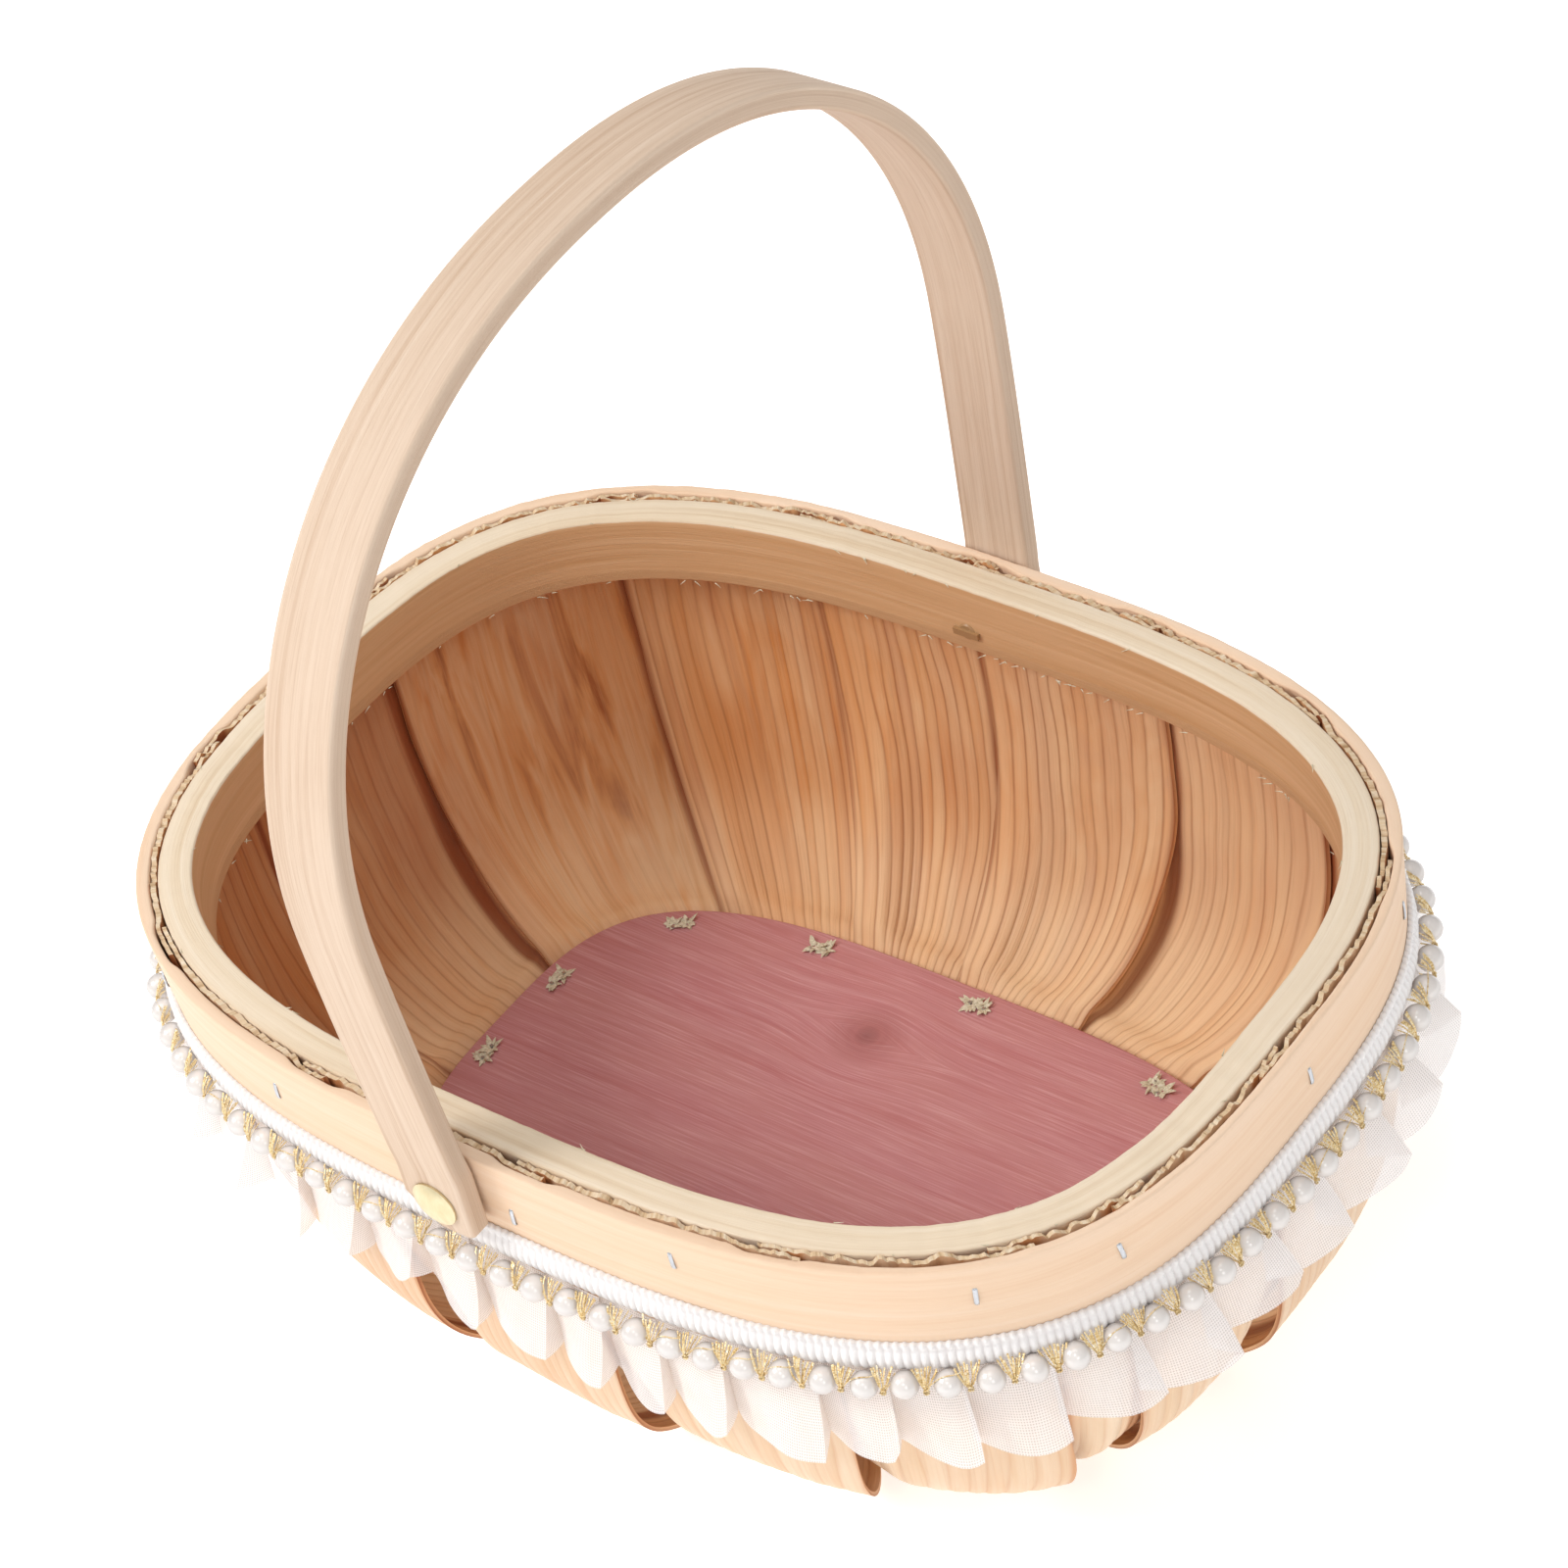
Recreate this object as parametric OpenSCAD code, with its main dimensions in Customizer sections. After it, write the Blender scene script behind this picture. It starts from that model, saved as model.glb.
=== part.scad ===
// Chip-wood flower basket with a swing handle and a pearl trim.
// The origin is on the table under the middle of the basket. X runs along its length and Z points up.

/* [Rim] */
// Height of the rim's top edge above the table
rim_z = 92; // [84:1:100]
// Half length of the rim, inside the inner band
rim_half_l = 110; // [105:1:115]
// Half width of the rim, inside the inner band
rim_half_w = 77; // [74:1:80]
// Squareness of the rim's outline: 2 is an ellipse, higher is boxier
rim_sq = 3.1; // [2.6:0.1:3.4]
// Thickness of the inner band
inner_band_t = 6.8; // [5.5:0.1:7.5]
// Height of the inner band
inner_band_h = 15.5; // [14:0.5:18]
// Thickness of the outer band
outer_band_t = 1.7; // [1.5:0.1:2.5]
// Height of the outer band
outer_band_h = 25; // [24:0.5:25.5]
// How far the bands lean inwards, in mm for each mm of depth
rim_lean = 0.06; // [0.02:0.01:0.08]

/* [Base plate] */
// Half length of the base plate
plate_half_l = 86.5; // [80:0.5:90]
// Half width of the base plate
plate_half_w = 51; // [46:0.5:54]
// Squareness of the base plate's outline
plate_sq = 3.4; // [3:0.1:4]
// Thickness of the base plate
plate_t = 3.6; // [3:0.1:5]

/* [Splints] */
// Thickness of one splint
splint_t = 1; // [0.8:0.05:1]
// Half of the width over which neighbouring splints overlap
overlap = 3.5; // [3:0.5:5]
// How far a splint bulges near the base, which opens a pocket behind its free edge
pocket = 4.5; // [2:0.5:6]
// Length of a splint's end under the base plate
tuck = 10; // [8:1:14]

/* [Handle] */
// How far the pivots sit from the middle of the long sides
handle_x = -5; // [-8:0.5:8]
// Depth of the pivots below the rim's top edge
pivot_drop = 10.9; // [10:0.1:11.5]
// Width of the handle strip
handle_w = 15.3; // [13:0.1:16]
// Thickness of the handle strip
handle_t = 4.5; // [3.5:0.1:5]
// Half of the widest gap between the two legs
hoop_half_w = 92.7; // [91:0.1:98]
// Height of the widest point of the hoop above the rim
hoop_waist = 60; // [50:1:70]
// Height of the hoop's inner face above the rim, at its top
hoop_top = 146.3; // [130:0.1:160]
// Squareness of the hoop's arch
hoop_sq = 2.18; // [2:0.02:2.4]
// Distance from a pivot to the end of its leg
foot_low = 6.3; // [6:0.1:7.5]

/* [Rivets] */
// Radius of a rivet's shank
shank_r = 2; // [1.5:0.1:2.5]
// Radius of a rivet's head
head_r = 4.9; // [4:0.1:5.5]
// Height of a rivet's domed head
head_h = 1.3; // [1:0.1:2]
// Radial running clearance of the handle on the rivets
running_gap = 0.05; // [0.02:0.01:0.1]

/* [Trim] */
// Height of the braid
braid_h = 6.6; // [5:0.1:6.6]
// Thickness of the braid
braid_t = 1.6; // [1:0.1:1.8]
// Depth of the braid's top edge below the rim
braid_drop = 18.8; // [18.8:0.1:19]
// Diameter of a pearl
pearl_d = 5.3; // [5:0.1:5.4]
// Number of pearls
pearls = 94; // [86:2:96]
// Depth of the ruffle's lower edge below the rim
ruffle_drop = 45; // [40:1:50]

/* [Hidden] */
// Seams between splints: polar angle, and 1 where the splint before the seam lies outside the one after it
seams = [[22, 1], [44, 1], [67, 1], [94, 0], [120, 0], [142, 0], [167, 0], [193, 1],
    [218, 1], [244, 1], [280, 1], [311, 1], [330, 1], [340, 0], [358, 0]];
splints = len(seams);
// How much of the bulge each splint has, from the one before the first seam on
swell = [1, 1, 1, 1, 1, 1, 1, 1, 1.2, 1.7, 1.85, 1.5, 0.95, 0.6, 0.45];
function splint_name(i) = str("splint_", i < 9 ? "0" : "", i + 1);

// Clearance between neighbouring layers, so that their facets never meet
gap = 0.2;
// Distance from one splint layer to the next
layer = splint_t + 0.25;
chip_space = 2 * gap + layer + splint_t;
rim_out = inner_band_t + chip_space + outer_band_t;
band_steps = 144;

splint_cols = 8;
// From an edge that is tucked under its neighbour: where the bulge starts, and over what width it grows
bulge_in = 5;
bulge_run = 13;
bowl_rows = 9;
// Exponents of the bowl's upright profile
bowl_p = 2.6;
bowl_q = 1.5;
bowl_drop = outer_band_h + 1;
under_z = 2 * splint_t + 0.25;
plate_z = under_z + 0.05;
plate_top = plate_z + plate_t;

pivot_z = rim_z - pivot_drop;
leg_y = rim_half_w + rim_out + 0.3;
leg_flat = 5.2;
// A length along Y that passes both sides of everything
span_y = 300;
hoop_steps = 40;
arch_steps = 56;
shank_clear = shank_r + running_gap;
// Prongs of a rivet: reach from its axis, width and thickness
prong_l = 3;
prong_w = 1.5;
prong_t = 0.6;
head_gap = 0.08;

// Radius swept by the leg's lowest corner, and the room behind the leg
foot_sweep = norm([handle_w / 2, foot_low]) + 0.3;
foot_gap = 0.2;
braid_in = rim_out - rim_lean * braid_drop + 0.15;
pearl_off = rim_out + 2.6;
pearl_drop = 28.2;
// Wedge of gold thread between two pearls: thickness, half width and top
thread_t = 1.2;
thread_w = 1.3;
thread_h = 2.4;
// Ruffle: thickness, offsets of its gathered top and its lower edge, depths of its top and its first bend
ruffle_t = 0.8;
ruffle_in = rim_out - 1.75;
ruffle_low = rim_out + 7;
ruffle_top = 26.8;
ruffle_bend = 31;
staple_w = 4.2;
wire = 0.6;
// Rim staples: polar angles and depths below the rim, leg length, and how far the crown is sunk in
staple_at = [[2, 10], [22, 10], [44, 10], [62, 10], [80, 10], [103, 10], [124, 10], [149, 10], [172, 10],
    [197, 10], [217, 10], [237, 10], [257, 10], [276, 13], [300.5, 6.8], [327, 7.8], [338, 9]];
staple_leg = 7.5;
crown_sunk = 0.1;
// Base staples: polar angles of those whose points come through the plate, and of those that stop inside it
base_staple_deg = [12, 27, 44, 86, 126, 149, 171, 187, 207, 232, 260, 292, 321, 349];
blind_staple_deg = [62, 107];
blind_leg = plate_top - 1.8;
staple_inset = 4.5;

// Point of a superellipse at a polar angle
function outline(a, l, w, sq) =
    let (r = pow(pow(abs(cos(a)) / l, sq) + pow(abs(sin(a)) / w, sq), -1 / sq)) [r * cos(a), r * sin(a)];
function unit(v) = v / norm(v);
// Outward normal of a superellipse at a point on it
function outward(p, l, w, sq) = unit([
    sign(p.x) * pow(abs(p.x) / l, sq - 1) / l,
    sign(p.y) * pow(abs(p.y) / w, sq - 1) / w]);
// Point of the rim's outline, moved outwards
function rim_pt(a, off) =
    let (p = outline(a, rim_half_l, rim_half_w, rim_sq))
    p + off * outward(p, rim_half_l, rim_half_w, rim_sq);
function rim_normal(a) =
    outward(outline(a, rim_half_l, rim_half_w, rim_sq), rim_half_l, rim_half_w, rim_sq);
function plate_pt(a, off) =
    let (p = outline(a, plate_half_l, plate_half_w, plate_sq))
    p + off * outward(p, plate_half_l, plate_half_w, plate_sq);
function clamp01(x) = min(1, max(0, x));
function smooth(x) = let (t = clamp01(x)) t * t * (3 - 2 * t);

// Closed ring round the rim through a section given as [offset, z] points
module rim_ring(section, steps = band_steps) {
    n = len(section);
    pts = [for (i = [0 : steps - 1], s = section)
        let (p = rim_pt(i * 360 / steps, s[0])) [p.x, p.y, s[1]]];
    faces = [for (i = [0 : steps - 1], k = [0 : n - 1])
        let (j = (i + 1) % steps, m = (k + 1) % n)
        each [[i * n + k, i * n + m, j * n + m], [i * n + k, j * n + m, j * n + k]]];
    polyhedron(pts, faces);
}

// Leaning band between two offsets, from the rim's top edge down
module band(off, t, h) {
    lean = rim_lean * h;
    rim_ring([[off, rim_z], [off + t, rim_z], [off + t - lean, rim_z - h], [off - lean, rim_z - h]]);
}

// Round hole along Y through both long sides at the pivots
module pivot_bore(r) {
    translate([handle_x, 0, pivot_z])
        rotate([90, 0, 0])
            cylinder(r = r, h = span_y, center = true, $fn = 48);
}

module base_plate() {
    color("rosybrown")
        translate([0, 0, plate_z])
            linear_extrude(plate_t)
                polygon([for (a = [0 : 3 : 357]) plate_pt(a, 0)]);
}

module inner_rim_band() {
    color("wheat")
        difference() {
            band(0, inner_band_t, inner_band_h);
            pivot_bore(shank_clear);
        }
}

module outer_rim_band() {
    color("bisque")
        difference() {
            band(rim_out - outer_band_t, outer_band_t, outer_band_h);
            pivot_bore(shank_clear);
        }
}

// Bowl profile: rows of [share of the way from the plate to the rim, extra outward distance, z]
function bowl_row(i) =
    let (a = 90 * (1 - i / bowl_rows), s = 1 - pow(cos(a), 2 / bowl_p), w = pow(sin(a), 2 / bowl_q))
    [w, 0, plate_top + (rim_z - bowl_drop - plate_top) * s];
profile = concat(
    [for (d = [0, bowl_drop / 2]) [1, rim_lean * (bowl_drop - d), rim_z - d]],
    [for (i = [0 : bowl_rows - 1]) bowl_row(i)],
    [[0.05, 0, under_z + 1.5], [0, 0, under_z + 0.4], [0, -1.5, under_z], [0, -3, under_z],
        [0, -tuck, under_z]]);
rows = len(profile);
mean_span = 31;
function flat_row(k) = [profile[k][0] * mean_span + profile[k][1], profile[k][2]];
// Normal of the profile in its own plane, as [outward, up]
function row_normal(k) =
    let (a = flat_row(max(k - 1, 0)), b = flat_row(min(k + 1, rows - 1)), d = unit(b - a)) [-d[1], d[0]];
// Where along the profile a splint bulges: nothing at the bands and under the plate
pocket_low = under_z + 0.5;
pocket_high = 44;
function lift(k) =
    let (z = profile[k][2])
    smooth((z - pocket_low) / 6) * smooth((pocket_high - z) / 26);

// Point of a splint on a polar angle and a profile row, at a distance from the bowl's innermost face
function splint_pt(a, k, off) =
    let (
        top = rim_pt(a, inner_band_t + gap - rim_lean * bowl_drop),
        low = plate_pt(a, 0.5),
        span = top - low,
        out = unit(span),
        n = row_normal(k),
        p = low + span * profile[k][0] + out * (profile[k][1] + off * n[0]))
    [p.x, p.y, profile[k][2] + off * n[1]];

// Width of the overlap as an angle at the rim
function overlap_deg(a) = overlap / norm(rim_pt(a, inner_band_t)) * 57.3;

// Polar angle of the far pivot, and whether a splint lies over a pivot
pivot_deg = atan2(leg_y, handle_x);
function holds(from, to, a) = from < a + 4 && to > a - 4;

module splint(i) {
    first = seams[(i + splints - 1) % splints];
    last = seams[i];
    a0 = first[0] > last[0] ? first[0] - 360 : first[0];
    a1 = last[0];
    from = a0 - overlap_deg(a0);
    to = a1 + overlap_deg(a1);
    // The layer of each side edge: 0 is inside, 1 is outside
    layer0 = 1 - first[1];
    layer1 = last[1];
    lap0 = 2 * overlap_deg(a0) / (to - from);
    lap1 = 2 * overlap_deg(a1) / (to - from);
    us = concat([0, lap0], [for (j = [1 : splint_cols - 3])
        lap0 + (1 - lap0 - lap1) * j / (splint_cols - 2)], [1 - lap1, 1]);
    cols = len(us);
    width = (to - from) * norm(rim_pt((from + to) / 2, inner_band_t)) / 57.3;
    pts = [for (k = [0 : rows - 1], u = us, face = [0, 1])
        let (
            a = from + (to - from) * u,
            side = (u - lap0) / (1 - lap0 - lap1),
            off = layer * (layer0 + (layer1 - layer0) * smooth(side)),
            rise0 = layer0 == 1 ? 1 : smooth((u * width - bulge_in) / bulge_run),
            rise1 = layer1 == 1 ? 1 : smooth(((1 - u) * width - bulge_in) / bulge_run))
        splint_pt(a, k, off + rise0 * rise1 * pocket * swell[i] * lift(k) + face * splint_t)];
    stride = cols * 2;
    function id(k, j, face) = k * stride + j * 2 + face;
    skin = [for (k = [0 : rows - 2], j = [0 : cols - 2])
        each [[id(k, j, 0), id(k, j + 1, 0), id(k + 1, j + 1, 0)],
            [id(k, j, 0), id(k + 1, j + 1, 0), id(k + 1, j, 0)],
            [id(k, j, 1), id(k + 1, j + 1, 1), id(k, j + 1, 1)],
            [id(k, j, 1), id(k + 1, j, 1), id(k + 1, j + 1, 1)]]];
    sides = [for (k = [0 : rows - 2])
        each [[id(k, 0, 0), id(k + 1, 0, 0), id(k + 1, 0, 1)],
            [id(k, 0, 0), id(k + 1, 0, 1), id(k, 0, 1)],
            [id(k, cols - 1, 0), id(k + 1, cols - 1, 1), id(k + 1, cols - 1, 0)],
            [id(k, cols - 1, 0), id(k, cols - 1, 1), id(k + 1, cols - 1, 1)]]];
    ends = [for (j = [0 : cols - 2])
        each [[id(0, j, 0), id(0, j + 1, 1), id(0, j + 1, 0)],
            [id(0, j, 0), id(0, j, 1), id(0, j + 1, 1)],
            [id(rows - 1, j, 0), id(rows - 1, j + 1, 0), id(rows - 1, j + 1, 1)],
            [id(rows - 1, j, 0), id(rows - 1, j + 1, 1), id(rows - 1, j, 1)]]];
    color("burlywood")
        if (holds(from, to, pivot_deg) || holds(from, to, 360 - pivot_deg))
            difference() {
                polyhedron(pts, concat(skin, sides, ends));
                pivot_bore(shank_clear);
            }
        else
            polyhedron(pts, concat(skin, sides, ends));
}

// One staple: the crown stands along Z and the legs point along -X
module staple(w, leg) {
    translate([0, -wire / 2, -w / 2])
        cube([wire, wire, w]);
    for (z = [-w / 2, w / 2 - wire])
        translate([-leg, -wire / 2, z])
            cube([leg, wire, wire]);
}

module rim_staples() {
    color("silver")
        for (at = staple_at) {
            p = rim_pt(at[0], rim_out - rim_lean * at[1] - crown_sunk);
            n = rim_normal(at[0]);
            translate([p.x, p.y, rim_z - at[1]])
                rotate([0, 0, atan2(n.y, n.x)])
                    staple(staple_w, staple_leg);
        }
}

module base_staple_row(degs, leg) {
    for (a = degs) {
        p = plate_pt(a, -staple_inset);
        translate([p.x, p.y, wire + crown_sunk])
            rotate([0, 90, atan2(p.y, p.x) + 90])
                staple(staple_w, leg);
    }
}

module base_staples() {
    color("silver") {
        base_staple_row(base_staple_deg, plate_top);
        base_staple_row(blind_staple_deg, blind_leg);
    }
}

// Half of the hoop's inner face as [y, z] points, from the leg's end up to the top
waist_z = rim_z + hoop_waist;
leg_low = pivot_z - foot_low - 1;
function bow(z) =
    let (t = clamp01((z - pivot_z - leg_flat) / (waist_z - pivot_z - leg_flat)))
    leg_y + (hoop_half_w - leg_y) * (1 - pow(1 - t, 1.35)) * smooth(t * 9);
leg_line = [for (i = [0 : hoop_steps])
    let (z = leg_low + (waist_z - leg_low) * i / hoop_steps) [bow(z), z]];
arch_line = [for (i = [1 : arch_steps])
    let (a = 90 * i / arch_steps)
    [hoop_half_w * pow(cos(a), 2 / hoop_sq),
        waist_z + (hoop_top - hoop_waist) * pow(sin(a), 2 / hoop_sq)]];
half_line = concat(leg_line, arch_line);
half_n = len(half_line);
function line_normal(i) =
    let (a = half_line[max(i - 1, 0)],
        mirrored = [-half_line[half_n - 2][0], half_line[half_n - 2][1]],
        b = i == half_n - 1 ? mirrored : half_line[i + 1],
        d = unit(b - a)) [d[1], -d[0]];
hoop_in = half_line;
hoop_out = [for (i = [0 : half_n - 1]) half_line[i] + handle_t * line_normal(i)];
// The whole hoop from one leg's end to the other
function hoop(line) = concat(line, [for (i = [len(line) - 2 : -1 : 0]) [-line[i][0], line[i][1]]]);
function reversed(line) = [for (i = [len(line) - 1 : -1 : 0]) line[i]];

// Leg's end seen along Y: cut straight across below the pivot, with one corner taken off
foot_cut = [[-handle_w, handle_w / 2], [foot_low - handle_w / 2, -foot_low],
    [handle_w, -foot_low], [handle_w, handle_w / 2]];

module handle() {
    color("tan")
        difference() {
            intersection() {
                translate([handle_x, 0, 0])
                    rotate([90, 0, 90])
                        linear_extrude(handle_w, center = true)
                            polygon(concat(hoop(hoop_in), reversed(hoop(hoop_out))));
                union() {
                    translate([handle_x, 0, pivot_z + hoop_top])
                        cube([2 * handle_w, span_y, 2 * hoop_top], center = true);
                    translate([handle_x, 0, pivot_z])
                        rotate([90, 0, 0])
                            linear_extrude(span_y, center = true)
                                polygon(foot_cut);
                }
            }
            pivot_bore(shank_clear);
        }
}

// Rivet along -Y: domed head outside the leg, shank, and two prongs bent flat inside the inner band
module rivet() {
    head_y = leg_y + handle_t + head_gap;
    tail_y = rim_half_w - rim_lean * pivot_drop - 0.25;
    dome_r = (head_r * head_r + head_h * head_h) / (2 * head_h);
    dome_y = head_y + 0.4 - (dome_r - head_h);
    dome = [for (i = [0 : 8])
        let (x = head_r * (1 - i / 8)) [x, dome_y + sqrt(dome_r * dome_r - x * x)]];
    shank = [[0, tail_y], [shank_r - 0.3, tail_y], [shank_r, tail_y + 0.3], [shank_r, head_y],
        [head_r, head_y]];
    rotate([90, 0, 0])
        rotate_extrude($fn = 72)
            polygon(concat(shank, dome));
    translate([-prong_l, -tail_y - 0.1, -prong_w / 2])
        cube([2 * prong_l, prong_t + 0.1, prong_w]);
}

module rivet_near() {
    color("goldenrod")
        translate([handle_x, 0, pivot_z])
            rivet();
}

module rivet_far() {
    color("goldenrod")
        translate([handle_x, 0, pivot_z])
            rotate([0, 0, 180])
                rivet();
}

// The braid is pressed flat where a foot of the handle swings in front of it
module trim_braid() {
    color("white")
        difference() {
            translate([0, 0, rim_z - braid_drop - braid_h])
                linear_extrude(braid_h)
                    difference() {
                        polygon([for (a = [0 : 1 : 359]) rim_pt(a, braid_in + braid_t)]);
                        polygon([for (a = [0 : 1 : 359]) rim_pt(a, braid_in)]);
                    }
            for (side = [-1, 1])
                translate([handle_x, side * (leg_y - foot_gap + handle_t / 2), pivot_z])
                    rotate([90, 0, 0])
                        cylinder(r = foot_sweep, h = handle_t, center = true, $fn = 96);
        }
}

// Place of a pearl, or of the thread beside it, at a polar angle
function row_pos(a, off) = let (p = rim_pt(a, off)) [p.x, p.y, rim_z - pearl_drop];

// Table from the length along the row of pearls to the polar angle
row_steps = 720;
function row_pt(i) = rim_pt(i * 360 / row_steps, pearl_off);
row_table = [for (i = 0, s = 0; i <= row_steps; s = s + norm(row_pt(i + 1) - row_pt(i)), i = i + 1)
    [s, i * 360 / row_steps]];
row_length = row_table[row_steps][0];
function row_angle(share) = lookup(share * row_length, row_table);

module trim_pearls() {
    color("ivory")
        for (i = [0 : pearls - 1])
            translate(row_pos(row_angle(i / pearls), pearl_off))
                sphere(d = pearl_d, $fn = 32);
}

module trim_gold_thread() {
    color("gold")
        for (i = [0 : pearls - 1]) {
            a = row_angle((i + 0.5) / pearls);
            n = rim_normal(a);
            translate(row_pos(a, rim_out + thread_t))
                rotate([90, 0, atan2(n.y, n.x) + 90])
                    linear_extrude(thread_t, center = true)
                        polygon([[-thread_w, thread_h], [thread_w, thread_h], [0.3, -0.6], [-0.3, -0.6]]);
        }
}

module trim_organza() {
    outer = [[ruffle_in, rim_z - ruffle_top], [ruffle_in, rim_z - ruffle_bend],
        [ruffle_low, rim_z - ruffle_drop]];
    inner = [for (i = [2 : -1 : 0]) outer[i] - [ruffle_t, 0]];
    color("whitesmoke")
        rim_ring(concat(outer, inner));
}

base_plate();
inner_rim_band();
outer_rim_band();
for (i = [0 : splints - 1])
    splint(i);
rim_staples();
base_staples();
handle();
rivet_near();
rivet_far();
trim_braid();
trim_pearls();
trim_gold_thread();
trim_organza();
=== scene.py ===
import math

import bmesh
import bpy
import numpy as np
from mathutils import Matrix, Vector


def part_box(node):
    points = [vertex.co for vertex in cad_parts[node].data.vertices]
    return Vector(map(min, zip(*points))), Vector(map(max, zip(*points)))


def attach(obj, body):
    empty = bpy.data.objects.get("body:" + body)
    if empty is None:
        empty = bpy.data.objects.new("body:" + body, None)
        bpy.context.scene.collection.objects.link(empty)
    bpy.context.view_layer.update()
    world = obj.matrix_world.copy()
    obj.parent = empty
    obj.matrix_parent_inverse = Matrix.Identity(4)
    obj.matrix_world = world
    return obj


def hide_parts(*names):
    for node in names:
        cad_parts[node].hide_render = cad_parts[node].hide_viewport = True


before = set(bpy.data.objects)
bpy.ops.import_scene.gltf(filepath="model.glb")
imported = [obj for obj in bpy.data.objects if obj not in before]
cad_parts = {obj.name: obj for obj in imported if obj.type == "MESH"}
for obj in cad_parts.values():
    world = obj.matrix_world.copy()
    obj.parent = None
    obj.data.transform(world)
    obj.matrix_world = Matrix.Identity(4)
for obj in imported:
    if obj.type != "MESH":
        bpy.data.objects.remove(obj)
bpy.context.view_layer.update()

# Chip-wood flower basket. Lengths are in millimetres here, and every mesh is written in metres.
MM = 0.001
rng = np.random.default_rng(24)

# Thickness and height of the two hoops, how far they lean inwards, and how square the outlines are
INNER_T, INNER_H = 6.8, 15.5
OUTER_T, OUTER_H = 1.7, 25.0
LEAN = 0.06
RIM_SQ, PLATE_SQ = 3.1, 3.4
_, inner_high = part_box("inner_rim_band")
_, outer_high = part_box("outer_rim_band")
plate_low, plate_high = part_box("base_plate")
handle_low, handle_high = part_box("handle")
RIM_Z = inner_high.z / MM
RIM_L = inner_high.x / MM - INNER_T
RIM_W = inner_high.y / MM - INNER_T
RIM_OUT = outer_high.x / MM - RIM_L
PLATE_L, PLATE_W = plate_high.x / MM, plate_high.y / MM
PLATE_Z, PLATE_TOP = plate_low.z / MM, plate_high.z / MM
HANDLE_X = (handle_low.x + handle_high.x) / 2 / MM
HANDLE_W = (handle_high.x - handle_low.x) / MM
# The rivets' depth below the rim, and how far each foot reaches below them
PIVOT_DROP, FOOT_LOW = 10.9, 6.3
PIVOT_Z = RIM_Z - PIVOT_DROP
LEG_Y = RIM_W + RIM_OUT + 0.3
HANDLE_T = 4.5
# The handle's hoop: half width, height over the rim, height at which it is widest, and squareness
HOOP_HALF, HOOP_TOP, HOOP_WAIST, HOOP_SQ = 92.7, 146.3, 60.0, 2.18
# Chips: height of the tucked ends, depth at which the bowl begins, thickness and distance of the two layers,
# overlap on each side of a seam, and length under the plate
UNDER_Z = 2.25
BOWL_DROP = OUTER_H + 1
SPLINT_T, LAYER = 1.0, 1.25
OVERLAP = 3.5
TUCK = 10.0
UP = np.array([0, 0, 1.0])
# Seams between chips, as polar angles, and 1 where the chip before the seam lies outside the one after it
SEAMS = [(22, 1), (44, 1), (67, 1), (94, 0), (120, 0), (142, 0), (167, 0), (193, 1),
         (218, 1), (244, 1), (280, 1), (311, 1), (330, 1), (340, 0), (358, 0)]
# How much the outer hoop closes in where it holds only one chip
HUG = 0.95


# ---- numbers and curves

def smooth(x):
    t = np.clip(x, 0, 1)
    return t * t * (3 - 2 * t)


def bump(x, low, high, ramp):
    """1 between low and high, falling to 0 over ramp on each side."""
    return smooth((x - low) / ramp + 1) * smooth((high - x) / ramp + 1)


LATTICE = rng.uniform(-1, 1, (64, 1024))
LATTICE2 = rng.uniform(-1, 1, (16, 256, 256))


def noise1(x, seed):
    """Smooth noise from -1 to 1 along a line, with one bump for each unit of x."""
    x = np.asarray(x, float)
    i = np.floor(x).astype(int)
    f = smooth(x - i)
    row = LATTICE[seed % 64]
    return row[i % 1024] * (1 - f) + row[(i + 1) % 1024] * f


def noise2(x, y, seed):
    x, y = np.broadcast_arrays(np.asarray(x, float), np.asarray(y, float))
    i, j = np.floor(x).astype(int), np.floor(y).astype(int)
    f, g = smooth(x - i), smooth(y - j)
    t = LATTICE2[seed % 16]
    a = t[i % 256, j % 256] * (1 - f) + t[(i + 1) % 256, j % 256] * f
    b = t[i % 256, (j + 1) % 256] * (1 - f) + t[(i + 1) % 256, (j + 1) % 256] * f
    return a * (1 - g) + b * g


def lengths(p):
    """Length along a line of points, from 0 at its first one."""
    return np.concatenate([[0], np.cumsum(np.linalg.norm(np.diff(p, axis=0), axis=1))])


def directions(p):
    d = np.gradient(p, axis=0)
    return d / (np.linalg.norm(d, axis=1, keepdims=True) + 1e-9)


def outline(a, l, w, sq, off=0.0):
    """Points and outward normals of a superellipse at polar angles in radians, moved outwards by off."""
    c, s = np.cos(a), np.sin(a)
    r = (np.abs(c / l) ** sq + np.abs(s / w) ** sq) ** (-1 / sq)
    p = np.stack([r * c, r * s], -1)
    n = np.stack([np.sign(c) * np.abs(p[..., 0] / l) ** (sq - 1) / l,
                  np.sign(s) * np.abs(p[..., 1] / w) ** (sq - 1) / w], -1)
    n /= np.linalg.norm(n, axis=-1, keepdims=True)
    return p + n * np.asarray(off)[..., None], n


def rim(a, off=0.0):
    return outline(a, RIM_L, RIM_W, RIM_SQ, off)


def plate(a, off=0.0):
    return outline(a, PLATE_L, PLATE_W, PLATE_SQ, off)


def level(xy, z):
    """Flat points raised to z."""
    return np.column_stack([xy, np.broadcast_to(z, len(xy))])


def spot(curve, a, off, z):
    """One point beside a curve at polar angle a, with the directions along and away from the curve."""
    xy, n = curve(np.array([a]), np.array([off]))
    return level(xy, z)[0], np.array([-n[0, 1], n[0, 0], 0]), np.array([n[0, 0], n[0, 1], 0])


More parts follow.
